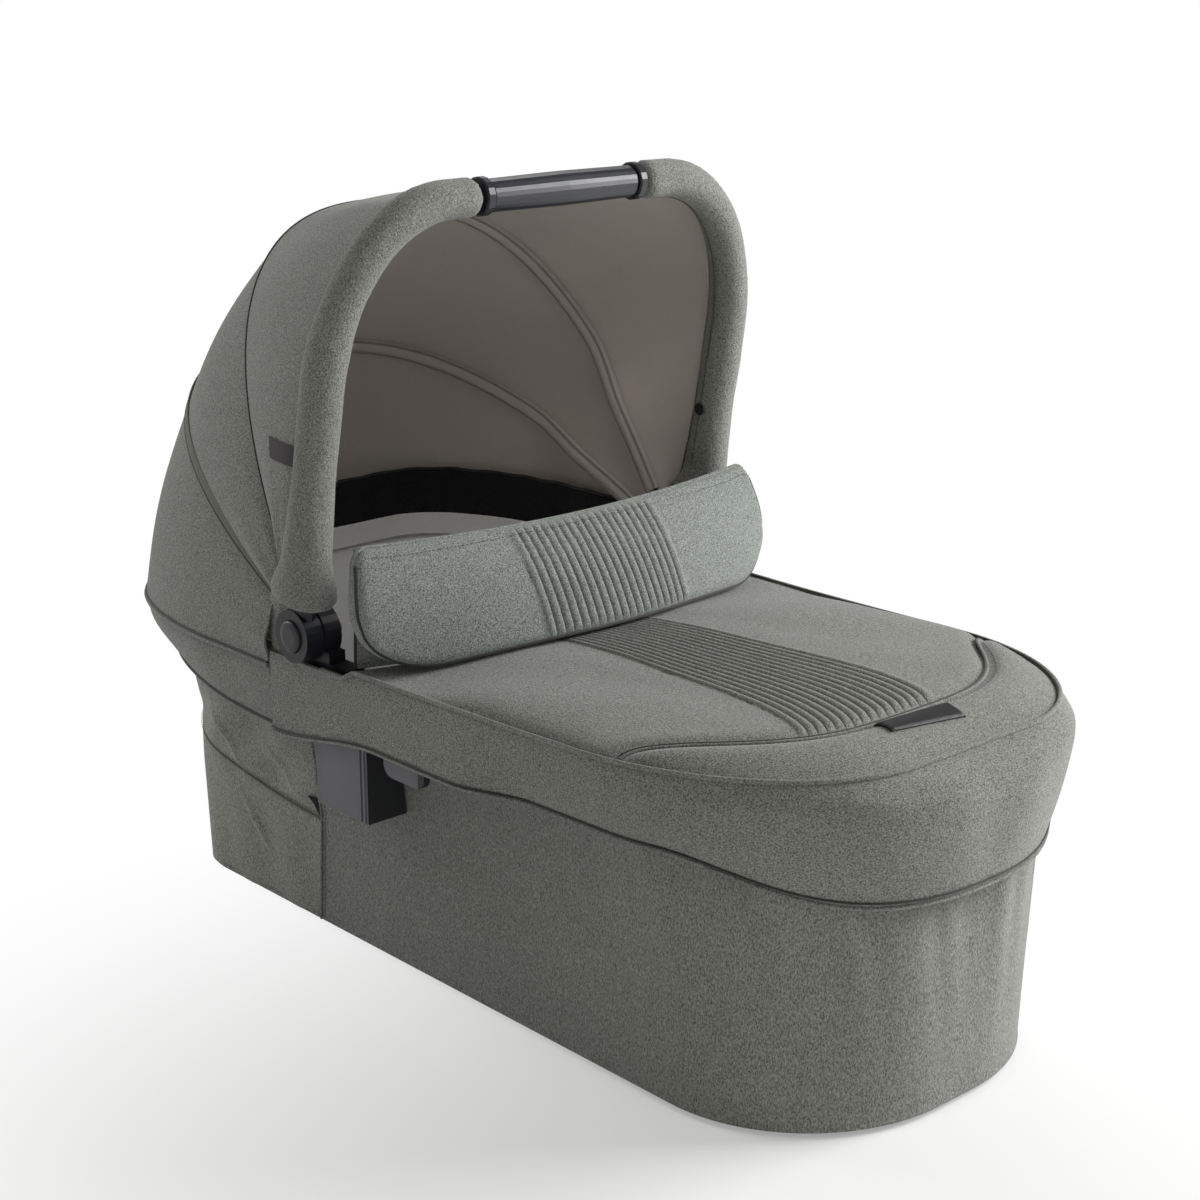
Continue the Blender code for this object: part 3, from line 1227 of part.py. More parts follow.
def build_sleeve(side):
    """Padded fabric sleeve: a thick-walled tube that widens over the hinge's leg."""
    ups = [*stem_stations()[:2], STEM_END + 2 * CLEARANCE, STEM_END + 4 * CLEARANCE]
    ups += list(np.linspace(SLEEVE_SWELL_END, ARCH_HEIGHT - ARCH_SHOULDER_ALONG, 3)[:-1])
    path = [(leg_x(up), up) for up in ups]
    path += half_arch(ARCH_HEIGHT - ARCH_SHOULDER_ALONG, 0)[1:]
    path.append((GRIP_HALF_LENGTH + COLLAR_LENGTH + CLEARANCE, ARCH_HEIGHT))
    outer = []
    inner = []
    for i, (x, up) in enumerate(path):
        before = path[max(i - 1, 0)]
        after = path[min(i + 1, len(path) - 1)]
        run = Vector((side * (after[0] - before[0]), 0, 0)) + arch_point(0, after[1]) - arch_point(0, before[1])
        outward = run.normalized().cross(ARCH_NORMAL)
        centre = arch_point(side * x, up)
        share = smooth((up - SLEEVE_SWELL_END) / (ARCH_HEIGHT - SLEEVE_SWELL_END))
        depth, width = sleeve_radii(min(up, SLEEVE_SWELL_END), False)
        depth += (SLEEVE_RADIUS - SLEEVE_LEG_RADIUS) * share
        width += (SLEEVE_RADIUS - SLEEVE_LEG_RADIUS) * share
        outer.append(oval(centre, outward, ARCH_NORMAL, depth, width, SMALL_SEGMENTS))
        if up < STEM_END + 3 * CLEARANCE:
            bore_depth, bore_width = stem_radii(up)
            bore_depth += SLEEVE_BORE_GAP
            bore_width += SLEEVE_BORE_GAP
        else:
            bore_depth = HANDLE_TUBE_RADIUS + SLEEVE_BORE_GAP
            bore_width = bore_depth
        inner.append(oval(centre, outward, ARCH_NORMAL, bore_depth, bore_width, SMALL_SEGMENTS))
    sleeve = ring_solid(
        "handle_sleeve_" + side_name(side), outer + list(reversed(inner)), "outer_fabric", closed_ends=False
    )
    set_origin(sleeve, (0, HINGE_Y, HINGE_Z))


def build_grip():
    """Moulded grip on the flat top of the arch, with a collar at each end."""
    top = arch_point(0, ARCH_HEIGHT)
    bore = HANDLE_TUBE_RADIUS + SLEEVE_BORE_GAP
    half = GRIP_HALF_LENGTH - CLEARANCE
    lip = COLLAR_LIP
    grip = turned_object("grip", [
        (-half, bore), (-half, GRIP_RADIUS - lip), (-half + lip, GRIP_RADIUS), (0, GRIP_RADIUS + GRIP_SWELL),
        (half - lip, GRIP_RADIUS), (half, GRIP_RADIUS - lip), (half, bore),
    ], "dark_plastic", top)
    smooth_shade(grip)
    for side in (-1, 1):
        near = side * GRIP_HALF_LENGTH
        far = side * (GRIP_HALF_LENGTH + COLLAR_LENGTH)
        middle = (near + far) / 2
        step = side * lip
        collar = turned_object("grip_collar_" + side_name(side), [
            (near, bore), (near, COLLAR_RADIUS - lip), (near + step, COLLAR_RADIUS), (middle, COLLAR_RADIUS),
            (far - step, COLLAR_RADIUS), (far, COLLAR_RADIUS - lip), (far, bore),
        ], "dark_plastic", top, segments=SMALL_SEGMENTS + SMALL_SEGMENTS // 2)
        smooth_shade(collar)


def build_snap(side):
    """Press stud on the inner side of the handle's sleeve, for the wind flap."""
    centre = arch_point(side * leg_x(SNAP_HEIGHT), SNAP_HEIGHT)
    surface = leg_x(SNAP_HEIGHT) - sleeve_radii(SNAP_HEIGHT, False)[0] - CLEARANCE
    face = surface - SNAP_THICKNESS
    y = centre.y
    z = centre.z
    snap = rod_object(
        "snap_" + side_name(side), (side * surface, y, z), (side * (surface - SNAP_THICKNESS / 2), y, z),
        SNAP_RADIUS, "dark_plastic", segments=SMALL_SEGMENTS,
    )
    cap = rod_object(
        "snap_cap", (side * surface - side * CLEARANCE, y, z), (side * face, y, z), SNAP_CAP_RADIUS,
        segments=SMALL_SEGMENTS,
    )
    join(snap, cap)
    set_origin(snap, (0, HINGE_Y, HINGE_Z))
    smooth_shade(snap)


# The hood

def bow_curve(angle_deg, half_span, reach, start, count=HOOD_COLUMNS):
    """Points of a superelliptic bow that turns about the hinge axis, from the -X side to the +X side."""
    power = 2 / BOW_ROUNDNESS_SHARE
    angle = math.radians(angle_deg)
    first = math.asin(min((start / reach) ** (1 / power), 1.0))
    points = []
    for t in np.linspace(first, math.pi - first, count):
        x = -half_span * math.copysign(abs(math.cos(t)) ** power, math.cos(t))
        out = reach * abs(math.sin(t)) ** power
        points.append(Vector((x, HINGE_Y + out * math.cos(angle), HINGE_Z + out * math.sin(angle))))
    return points


def bow_leg_span(out, order, free):
    """Half span of a bow at a distance from the hinge: in at its eyelet, then inside the sleeves, then free."""
    eye = eyelet_x(order) + EYELET_THICKNESS / 2
    start = smooth((out - BOW_LEG_START) / (BOW_WAIST_START - BOW_LEG_START))
    waist = eye + (BOW_WAIST_HALF_SPAN - eye) * start
    flare = smooth((out - BOW_WAIST_END) / (BOW_FLARE_END - BOW_WAIST_END))
    return min(waist + (free - waist) * flare, free)


def build_bow(name, angle_deg, order):
    """Sprung bow of the hood with an eyelet round the pivot pin at each end."""
    angle = math.radians(angle_deg)
    turn = Vector((0, math.cos(angle), math.sin(angle)))
    hinge = Vector((0, HINGE_Y, HINGE_Z))
    half = []
    for out in (EYELET_RADIUS * 3 / 4, BOW_LEG_START, BOW_WAIST_START, (BOW_WAIST_START + BOW_WAIST_END) / 2):
        half.append((bow_leg_span(out, order, BOW_HALF_SPAN), out))
    for point in bow_curve(angle_deg, BOW_HALF_SPAN, BOW_REACH, BOW_WAIST_END):
        out = (point - hinge).dot(turn)
        if point.x > 0:
            half.append((bow_leg_span(out, order, point.x), out))
    half[4:] = sorted(half[4:], key=lambda place: place[1])
    crown = [(0, BOW_REACH)]
    places = [(-x, out) for x, out in half] + crown + [(x, out) for x, out in reversed(half)]
    bow = tube_object(name, [hinge + turn * out + Vector((x, 0, 0)) for x, out in places], BOW_RADIUS,
                      "dark_plastic", resolution=1)
    for side in (-1, 1):
        low = side * eyelet_x(order)
        high = side * (eyelet_x(order) + EYELET_THICKNESS)
        eyelet = rod_object(
            "eyelet", (low, HINGE_Y, HINGE_Z), (high, HINGE_Y, HINGE_Z), EYELET_RADIUS, segments=SMALL_SEGMENTS
        )
        join(bow, eyelet)
        hole = rod_object(
            name + "_hole_" + side_name(side), (low - side * OVERRUN, HINGE_Y, HINGE_Z),
            (high + side * OVERRUN, HINGE_Y, HINGE_Z), PIN_RADIUS + 2 * CLEARANCE,
            collection=CUTTERS, segments=SMALL_SEGMENTS,
        )
        cut(bow, hole)
    set_origin(bow, (0, HINGE_Y, HINGE_Z))
    smooth_shade(bow)


def grown_points(points, amount):
    """Move the points of a hood section outwards in their own plane."""
    middle = Vector((0, HINGE_Y, HINGE_Z))
    result = []
    for i, point in enumerate(points):
        before = points[max(i - 1, 0)]
        after = points[min(i + 1, len(points) - 1)]
        along = (after - before).normalized()
        away = point - middle
        outward = away - along * away.dot(along)
        result.append(point + outward.normalized() * amount)
    return result


def handle_edge(count=HOOD_COLUMNS):
    """Where the hood's front edge runs: along the back of the handle's sleeves."""
    half = half_arch(HOOD_START, 2)
    points = [arch_point(-x, up) for x, up in half] + [arch_point(x, up) for x, up in reversed(half)]
    lengths = np.cumsum([0] + [(b - a).length for a, b in zip(points, points[1:])])
    places = np.linspace(0, lengths[-1], count)
    coordinates = np.array([tuple(p) for p in points])
    even = [Vector([np.interp(s, lengths, coordinates[:, k]) for k in range(3)]) for s in places]
    edge = []
    for point in even:
        up = (point.z - HINGE_Z) / math.cos(math.radians(HANDLE_LEAN_DEG))
        width = sleeve_radii(min(up, SLEEVE_SWELL_END), False)[1]
        edge.append(point + ARCH_NORMAL * (width + HOOD_THICKNESS + SEAM_GAP))
    return edge


def rim_edge(count=HOOD_COLUMNS):
    """Where the hood's rear edge runs: along the top of the rear band."""
    plan = RIM_PLAN.grown(WRAP_RADIUS - HOOD_REAR_INSET + BAND_THICKNESS)
    run = plan.head_run(HINGE_Y + HOOD_START)[::-1]
    z = RIM_HEIGHT + WRAP_RADIUS + BAND_THICKNESS + HOOD_THICKNESS + SEAM_GAP
    points = [Vector((x, y, z)) for x, y in run]
    lengths = np.cumsum([0] + [(b - a).length for a, b in zip(points, points[1:])])
    coordinates = np.array([tuple(p) for p in points])
    places = np.linspace(0, lengths[-1], count)
    return [Vector([np.interp(s, lengths, coordinates[:, k]) for k in range(3)]) for s in places]


def build_panel(name, first, last, trim_first, trim_last):
    """One fabric panel of the hood, from one bow to the next, with a little puff between them."""
    first = np.array([tuple(p) for p in first])
    last = np.array([tuple(p) for p in last])
    width = np.linalg.norm(last - first, axis=1).max()
    grid = []
    for along in np.linspace(0, 1, HOOD_ROWS + 1):
        share = trim_first / width + along * (1 - (trim_first + trim_last) / width)
        row = [Vector(p) for p in first * (1 - share) + last * share]
        puff = HOOD_PUFF * math.sin(math.pi * share)
        grid.append([tuple(p) for p in grown_points(row, puff)])
    cloth_object(name, grid, HOOD_THICKNESS, "outer_fabric")


def build_hood():
    """Two bows and the three fabric panels that they spread."""
    build_bow("hood_bow_front", BOW_FRONT_DEG, 0)
    build_bow("hood_bow_rear", BOW_REAR_DEG, 1)
    stand = BOW_RADIUS + 4 * CLEARANCE + HOOD_THICKNESS
    front = bow_curve(BOW_FRONT_DEG, BOW_HALF_SPAN + stand, BOW_REACH + stand, HOOD_START)
    rear = bow_curve(BOW_REAR_DEG, BOW_HALF_SPAN + stand, BOW_REACH + stand, HOOD_START)
    trim = SEAM_GAP / 2 + HOOD_THICKNESS / 3
    build_panel("hood_panel_front", handle_edge(), front, 0, trim)
    build_panel("hood_panel_middle", front, rear, trim, trim)
    build_panel("hood_panel_rear", rear, rim_edge(), trim, 0)


# The apron and wind flap

def hem_height(y):
    """Height of the skirt's lower edge along the cot."""
    foot_share = smooth((HEM_DROP_START_Y - y) / (HEM_FOOT_REACH + HEM_DROP_START_Y))
    rear_share = smooth(y / STRAP_END_Y)
    return HEM_SIDE_Z + (HEM_FOOT_Z - HEM_SIDE_Z) * foot_share + (HEM_REAR_Z - HEM_SIDE_Z) * rear_share


def ridge_height(y):
    """Height of the skirt's upper edge: lower on the strap, a little higher at the foot."""
    foot_share = smooth((-y) / RIDGE_FOOT_REACH)
    height = RIDGE_Z + (RIDGE_FOOT_Z - RIDGE_Z) * foot_share
    if y > STRAP_START_Y - CLEARANCE:
        height = STRAP_TOP_Z
    return height


def ridge_plan():
    return Plan(
        RIDGE_HALF_WIDTH, RIDGE_FOOT_HALF_WIDTH, RIDGE_FOOT_REACH, RIM_HEAD_REACH,
        RIDGE_CORNER_ACROSS, RIDGE_CORNER_ALONG, RIM_HEAD_CORNER_ACROSS, RIM_HEAD_CORNER_ALONG,
    )


def skirt_run(plan, start_y):
    """The foot run of a plan with extra stations where the strap begins and where the bulge over the lever ends."""
    strap = [(-plan.half, start_y), (-plan.half, (start_y + STRAP_START_Y) / 2), (-plan.half, STRAP_START_Y)]
    run = plan.foot_run(STRAP_START_Y - OVERRUN)
    wide = plan.half_width_at(HEM_BULGE_END_Y)
    place = int(np.argmax(run[:, 1] < HEM_BULGE_END_Y))
    run = np.insert(run, place, (-wide, HEM_BULGE_END_Y), axis=0)
    run = np.insert(run, len(run) - place, (wide, HEM_BULGE_END_Y), axis=0)
    return np.concatenate([strap, run, [(-x, y) for x, y in reversed(strap)]])


def build_skirt():
    """Padded skirt of the apron round the sides and the foot end."""
    ridge = ridge_plan()
    widest = Plan(
        SKIRT_HALF_WIDTH, SKIRT_FOOT_HALF_WIDTH, SKIRT_FOOT_REACH, RIM_HEAD_REACH,
        SKIRT_CORNER_ACROSS, SKIRT_CORNER_ALONG, RIM_HEAD_CORNER_ACROSS, RIM_HEAD_CORNER_ALONG,
    )
    hem = Plan(
        HEM_WAIST_HALF_WIDTH, HEM_FOOT_HALF_WIDTH, HEM_FOOT_REACH, RIM_HEAD_REACH,
        HEM_CORNER_ACROSS, HEM_CORNER_ALONG, RIM_HEAD_CORNER_ACROSS, RIM_HEAD_CORNER_ALONG,
    )

    def shaped(plan, kind):
        rows = []
        for x, y in skirt_run(plan, STRAP_END_Y):
            sign = -1 if x < 0 else 1
            bulge = smooth((y - HEM_WAIST_Y) / (HEM_BULGE_END_Y - HEM_WAIST_Y))
            if kind == "ridge":
                z = ridge_height(y)
                if y > STRAP_START_Y - CLEARANCE:
                    x = sign * SKIRT_HALF_WIDTH
            elif kind == "widest":
                z = RIM_HEIGHT - CLEARANCE
                x = sign * (abs(x) + (SKIRT_HALF_WIDTH - widest.half_width_at(y)) * bulge)
            else:
                z = hem_height(y)
                x = sign * (abs(x) + (HEM_HALF_WIDTH - hem.half_width_at(y)) * bulge)
            rows.append((x, y, z))
        return np.array(rows)

    top = shaped(ridge, "ridge")
    middle = shaped(widest, "widest")
    bottom = shaped(hem, "hem")
    shoulder = (top + middle) / 2
    shoulder[:, :2] += (middle[:, :2] - top[:, :2]) / 4
    lower = (middle + bottom) / 2
    lower[:, :2] += (middle[:, :2] - bottom[:, :2]) / 8
    cloth_object("apron_skirt", [bottom, lower, middle, shoulder, top], BAND_THICKNESS, "outer_fabric")


def riser_base_y(x):
    """Rear edge of the apron top, where the riser stands."""
    return RISER_BASE_Y + RISER_BASE_SWEEP * (x / RISER_HALF_WIDTH) ** 2


def crease_y(x):
    return CREASE_Y + CREASE_SWEEP * (x / RISER_HALF_WIDTH) ** 2


def crease_z(x):
    return CREASE_Z + CREASE_RISE * (x / RISER_HALF_WIDTH) ** 2


def seam_y(x):
    """Cross seam between the quilted top and the cap."""
    return SEAM_MIDDLE_Y + SEAM_SWEEP * (x / RIDGE_FOOT_HALF_WIDTH) ** 2


def top_half_width(y):
    return ridge_plan().outline_half_width(y) - QUILT_EDGE_INSET


def top_height(x, y, half):
    """Height of the crowned apron top."""
    share = min(max(y / SEAM_MIDDLE_Y, 0.0), 1.0)
    crown = QUILT_CROWN + (QUILT_SEAM_CROWN - QUILT_CROWN) * share
    return ridge_height(min(y, 0)) + crown * max(1 - (x / half) ** 2, 0.0)


def rib_columns(half, rib_half, ribs, plain):
    """Shares across the cloth with two columns for each rib and a few on each plain side."""
    side = list(np.linspace(-half, -rib_half, plain + 1))
    middle = list(np.linspace(-rib_half, rib_half, 2 * ribs + 1))[1:-1]
    other = list(np.linspace(rib_half, half, plain + 1))
    heights = [0.0] * len(side) + [1.0 if i % 2 == 0 else 0.0 for i in range(len(middle))] + [0.0] * len(other)
    return [c / half for c in side + middle + other], heights


def build_apron_top():
    """Quilted top of the apron: crowned cloth with sewn ribs down the middle."""
    shares, ribs = rib_columns(top_half_width(0), RIB_ZONE_HALF_WIDTH, APRON_RIB_COUNT, PLAIN_COLUMNS)
    grid = []
    for along in np.linspace(1, 0, APRON_ROWS + 1):
        row = []
        for share, rib in zip(shares, ribs):
            guess = share * top_half_width(0)
            y = riser_base_y(guess) + (seam_y(guess) + SEAM_GAP / 2 - riser_base_y(guess)) * along
            half = top_half_width(y)
            z = top_height(share * half, y, half)
            row.append((share * half, y, z + rib * RIB_HEIGHT * min(1, 3 * along)))
        grid.append(row)
    cloth_object("apron_top", grid, QUILT_THICKNESS, "outer_fabric")


def cap_grid():
    """Rows of the cap from the cross seam to the ridge."""
    ridge = ridge_plan().grown(-QUILT_EDGE_INSET)
    start_y = seam_y(RIDGE_FOOT_HALF_WIDTH) - 4 * QUILT_EDGE_INSET
    start_x = ridge.outline_half_width(start_y)
    corner = [(x, y) for x, y in ridge.foot_run(0) if y < start_y]
    run = np.array([(-start_x, start_y)] + corner + [(start_x, start_y)])
    lengths = np.concatenate([[0], np.cumsum(np.linalg.norm(np.diff(run, axis=0), axis=1))])
    places = np.linspace(0, lengths[-1], CAP_COLUMNS)
    xs = np.interp(places, lengths, run[:, 0])
    ys = np.interp(places, lengths, run[:, 1])
    grid = []
    for share in np.linspace(1, 0, CAP_ROWS + 1):
        row = []
        for i in range(CAP_COLUMNS):
            seam_x = xs[0] + (xs[-1] - xs[0]) * i / (CAP_COLUMNS - 1)
            seam_place_y = seam_y(seam_x) - SEAM_GAP / 2
            seam_z = top_height(seam_x, seam_place_y, top_half_width(seam_place_y))
            edge_z = ridge_height(ys[i])
            apart = math.hypot(xs[i] - seam_x, ys[i] - seam_place_y) / (RIDGE_FOOT_REACH + SEAM_MIDDLE_Y)
            puff = CAP_BULGE * math.sin(math.pi * share) * min(apart, 1)
            x = seam_x + (xs[i] - seam_x) * share
            y = seam_place_y + (ys[i] - seam_place_y) * share
            row.append((x, y, seam_z + (edge_z - seam_z) * share * math.sqrt(share) + puff))
        grid.append(row)
    return grid


def build_cap():
    """Cap of the apron over the foot end, with a bare plate sewn on it."""
    grid = cap_grid()
    cloth_object("apron_cap", grid, QUILT_THICKNESS, "outer_fabric")
    middle = np.array(grid)[:, CAP_COLUMNS // 2]
    shares = np.linspace(-1, 1, 5)
    rows = []
    for along in (-1, 1):
        y = PLATE_Y + along * PLATE_WIDTH / 2
        z = np.interp(y, middle[:, 1], middle[:, 2]) + 2 * CLEARANCE + PLATE_THICKNESS
        rows.append([(share * PLATE_LENGTH / 2, y, z) for share in shares])
    cloth_object("label_plate", rows, PLATE_THICKNESS, "plate_metal")


def riser_point(x, share):
    """A point of the riser: share 0 at its base, 1 at the crease."""
    base_z = top_height(x, riser_base_y(x), top_half_width(0)) + CLEARANCE * 2
    y = riser_base_y(x) + (crease_y(x) - riser_base_y(x)) * share
    z = base_z + (crease_z(x) - base_z) * share
    return y, z


def build_riser():
    """Upright panel behind the flap that joins it to the apron top."""
    grid = []
    for share in np.linspace(0, 1, RISER_ROWS + 1):
        row = []
        for x in np.linspace(-RISER_HALF_WIDTH, RISER_HALF_WIDTH, RISER_COLUMNS):
            row.append((x, *riser_point(x, share)))
        grid.append(row)
    cloth_object("apron_riser", grid, RISER_THICKNESS, "flap_fabric")


def flap_grid():
    """Rows of the wind flap's outer face, from its lower edge up to the crease."""
    shares, ribs = rib_columns(FLAP_HALF_WIDTH, FLAP_RIB_ZONE_HALF_WIDTH, FLAP_RIB_COUNT, PLAIN_COLUMNS + 1)
    grid = []
    for hang in np.linspace(1, 0, FLAP_ROWS + 1):
        row = []
        for share, rib in zip(shares, ribs):
            edge = abs(share) * FLAP_HALF_WIDTH - (FLAP_HALF_WIDTH - FLAP_CORNER_WIDTH)
            corner = min(max(edge / FLAP_CORNER_WIDTH, 0.0), 1.0)
            reach = 1 - FLAP_CORNER_HEIGHT_SHARE * (1 - math.sqrt(max(1 - corner * corner, 0.0)))
            down = reach * hang
            widen = smooth(2 * down)
            half = FLAP_TOP_HALF_WIDTH + (FLAP_HALF_WIDTH - FLAP_TOP_HALF_WIDTH) * widen
            x = share * half
            foot_y = FLAP_FOOT_Y + FLAP_FOOT_SWEEP * (x / RISER_HALF_WIDTH) ** 2
            foot_z = top_height(x, foot_y, top_half_width(0)) + RIB_HEIGHT + FLAP_FOOT_GAP
            y = crease_y(x) + (foot_y - crease_y(x)) * down
            z = crease_z(x) + (foot_z - crease_z(x)) * down
            puff = FLAP_BULGE * math.sin(math.pi * down) + rib * RIB_HEIGHT * min(1, 4 * down)
            lean = Vector((0, crease_z(x) - foot_z, foot_y - crease_y(x))).normalized()
            place = Vector((x, y, z)) - lean * (FLAP_STAND_OFF + FLAP_THICKNESS + puff)
            row.append(tuple(place))
        grid.append(row)
    return grid


def build_wind_flap():
    """Padded wind flap, folded down over the riser."""
    flap = cloth_object("wind_flap", flap_grid(), FLAP_THICKNESS, "flap_fabric")
    set_origin(flap, (0, FLAP_HINGE_Y, FLAP_HINGE_Z))


# The chassis adapters

def build_tub_volume():
    """Solid of the space that the fabric walls take, used to fit the adapters to the wall."""
    rings = []
    for z in wall_levels():
        rings.append(with_height(wall_plan(z).grown(2 * CLEARANCE).loop(), z))
    volume = ring_solid("tub_volume", rings, None)
    PARTS.objects.unlink(volume)
    CUTTERS.objects.link(volume)
    return volume


def build_adapter_housings():
    """Adapter housings: socketed box below the skirt, a neck to the hinge housing and the lever's arm."""
    side = -1
    name = "adapter_housing_left"
    volume = build_tub_volume()

    def corners(inner, outer, foot, head, bottom, top):
        low_x, high_x = sorted((side * inner, side * outer))
        return (low_x, foot, bottom), (high_x, head, top)

    body = box_object(
        name, *corners(ADAPTER_INNER_X, ADAPTER_OUTER_X, ADAPTER_FOOT_Y, ADAPTER_HEAD_Y, ADAPTER_BOTTOM,
                       ADAPTER_SHOULDER_Z), "grey_plastic",
    )
    neck = box_object(
        "neck", *corners(NECK_INNER_X, NECK_OUTER_X, ADAPTER_FOOT_Y + ADAPTER_EDGE_RADIUS, NECK_HEAD_Y,
                         ADAPTER_SHOULDER_Z - OVERRUN, SOCKET_BLOCK_BOTTOM - CLEARANCE)
    )
    arm = box_object(
        "arm", *corners(ARM_INNER_X, ARM_OUTER_X, ARM_FOOT_Y, ADAPTER_FOOT_Y + 2 * ADAPTER_EDGE_RADIUS, ARM_BOTTOM,
                        ARM_TOP)
    )
    join(body, neck, arm)
    for step in (0, 1):
        y = ADAPTER_FOOT_Y + ADAPTER_EDGE_RADIUS + step * ADAPTER_RIDGE_PITCH
        ridge = box_object(
            "ridge", *corners(ADAPTER_OUTER_X - OVERRUN, ADAPTER_OUTER_X + ADAPTER_RIDGE_PROUD, y,
                              y + ADAPTER_RIDGE_WIDTH, ADAPTER_BOTTOM + CLEARANCE, ADAPTER_SHOULDER_Z - CLEARANCE)
        )
        join(body, ridge)
    cut(body, volume)
    socket = box_object(
        "adapter_socket_" + side_name(side),
        *corners(ADAPTER_SOCKET_INNER_X, ADAPTER_SOCKET_OUTER_X, ADAPTER_SOCKET_FOOT_Y, ADAPTER_SOCKET_HEAD_Y,
                 ADAPTER_BOTTOM - OVERRUN, ADAPTER_SOCKET_TOP), collection=CUTTERS,
    )
    cut(body, socket)
    groove = turned_object("arc_groove_" + side_name(side), [
        (side * (ADAPTER_OUTER_X - ADAPTER_GROOVE_DEPTH), ADAPTER_GROOVE_RADIUS),
        (side * (ADAPTER_OUTER_X - ADAPTER_GROOVE_DEPTH), ADAPTER_GROOVE_RADIUS + ADAPTER_GROOVE_WIDTH),
        (side * (ADAPTER_OUTER_X + ADAPTER_RIDGE_PROUD / 4), ADAPTER_GROOVE_RADIUS + ADAPTER_GROOVE_WIDTH),
        (side * (ADAPTER_OUTER_X + ADAPTER_RIDGE_PROUD / 4), ADAPTER_GROOVE_RADIUS),
    ], None, (0, ADAPTER_HEAD_Y + ADAPTER_RIDGE_PITCH, ADAPTER_BOTTOM), segments=2 * ROUND_SEGMENTS,
        collection=CUTTERS)
    cut(body, groove)
    hole = rod_object(
        "stem_hole_" + side_name(side), (side * lever_middle_x(), lever_middle_y(), ARM_BOTTOM - OVERRUN),
        (side * lever_middle_x(), lever_middle_y(), ARM_TOP + OVERRUN), LEVER_STEM_RADIUS + 2 * CLEARANCE,
        collection=CUTTERS, segments=SMALL_SEGMENTS,
    )
    cut(body, hole)
    smooth_shade(body)
    mirror_to_right(body)


def lever_middle_x():
    return (LEVER_INNER_X + LEVER_OUTER_X) / 2


def lever_middle_y():
    return (LEVER_FOOT_Y + LEVER_HEAD_Y) / 2


def build_adapter_lever(side):
    """Release lever: a rounded blade that is squeezed up, on a stem in the housing's arm."""
    centre_y = lever_middle_y()
    half = (LEVER_HEAD_Y - LEVER_FOOT_Y) / 2
    radius = min(LEVER_CORNER_RADIUS, half)
    outline = [(centre_y - half, LEVER_TOP)]
    for angle in np.linspace(math.pi, 1.5 * math.pi, 6):
        outline.append((centre_y - half + radius + radius * math.cos(angle),
                        LEVER_BOTTOM + radius + radius * math.sin(angle)))
    for angle in np.linspace(1.5 * math.pi, 2 * math.pi, 6):
        outline.append((centre_y + half - radius + radius * math.cos(angle),
                        LEVER_BOTTOM + radius + radius * math.sin(angle)))
    outline.append((centre_y + half, LEVER_TOP))
    rings = [[(side * x, y, z) for y, z in outline] for x in (LEVER_INNER_X, LEVER_OUTER_X)]
    lever = ring_solid("adapter_lever_" + side_name(side), rings, "grey_plastic")
    stem = rod_object(
        "lever_stem", (side * lever_middle_x(), centre_y, LEVER_TOP - OVERRUN),
        (side * lever_middle_x(), centre_y, LEVER_STEM_TOP), LEVER_STEM_RADIUS, segments=SMALL_SEGMENTS,
    )
    join(lever, stem)
    set_origin(lever, (side * lever_middle_x(), centre_y, LEVER_BOTTOM))
    smooth_shade(lever)


def build_lever_spring(side):
    """Coil spring round the lever's stem, under the arm."""
    start = LEVER_TOP + SPRING_WIRE_RADIUS + CLEARANCE
    end = ARM_BOTTOM - SPRING_WIRE_RADIUS - CLEARANCE
    points = coil_points(
        (side * lever_middle_x(), lever_middle_y(), start), Vector((0, 0, 1)), Vector((1, 0, 0)),
        Vector((0, 1, 0)), LEVER_SPRING_RADIUS, end - start, SPRING_TURNS,
    )
    tube_object("lever_spring_" + side_name(side), points, SPRING_WIRE_RADIUS, "steel_wire", resolution=1)


def main():
    for old in list(bpy.data.objects):
        bpy.data.objects.remove(old)
    bpy.context.scene.collection.children.link(PARTS)
    bpy.context.scene.collection.children.link(CUTTERS)
    build_base_tray()
    build_foot_pads()
    build_covers()
    build_rim()
    build_braces()
    build_liner()
    build_mattress()
    build_mesh_band()
    build_rear_band()
    build_handle_legs()
    build_adapter_housings()
    for side in (-1, 1):
        build_hinge_housing(side)
        build_pivot_pin(side)
        build_hinge_button(side)
        build_hinge_spring(side)
        build_sleeve(side)
        build_snap(side)
        build_adapter_lever(side)
        build_lever_spring(side)
    build_handle_tube()
    build_grip()
    build_hood()
    build_skirt()
    build_apron_top()
    build_cap()
    build_riser()
    build_wind_flap()


main()
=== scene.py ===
import math

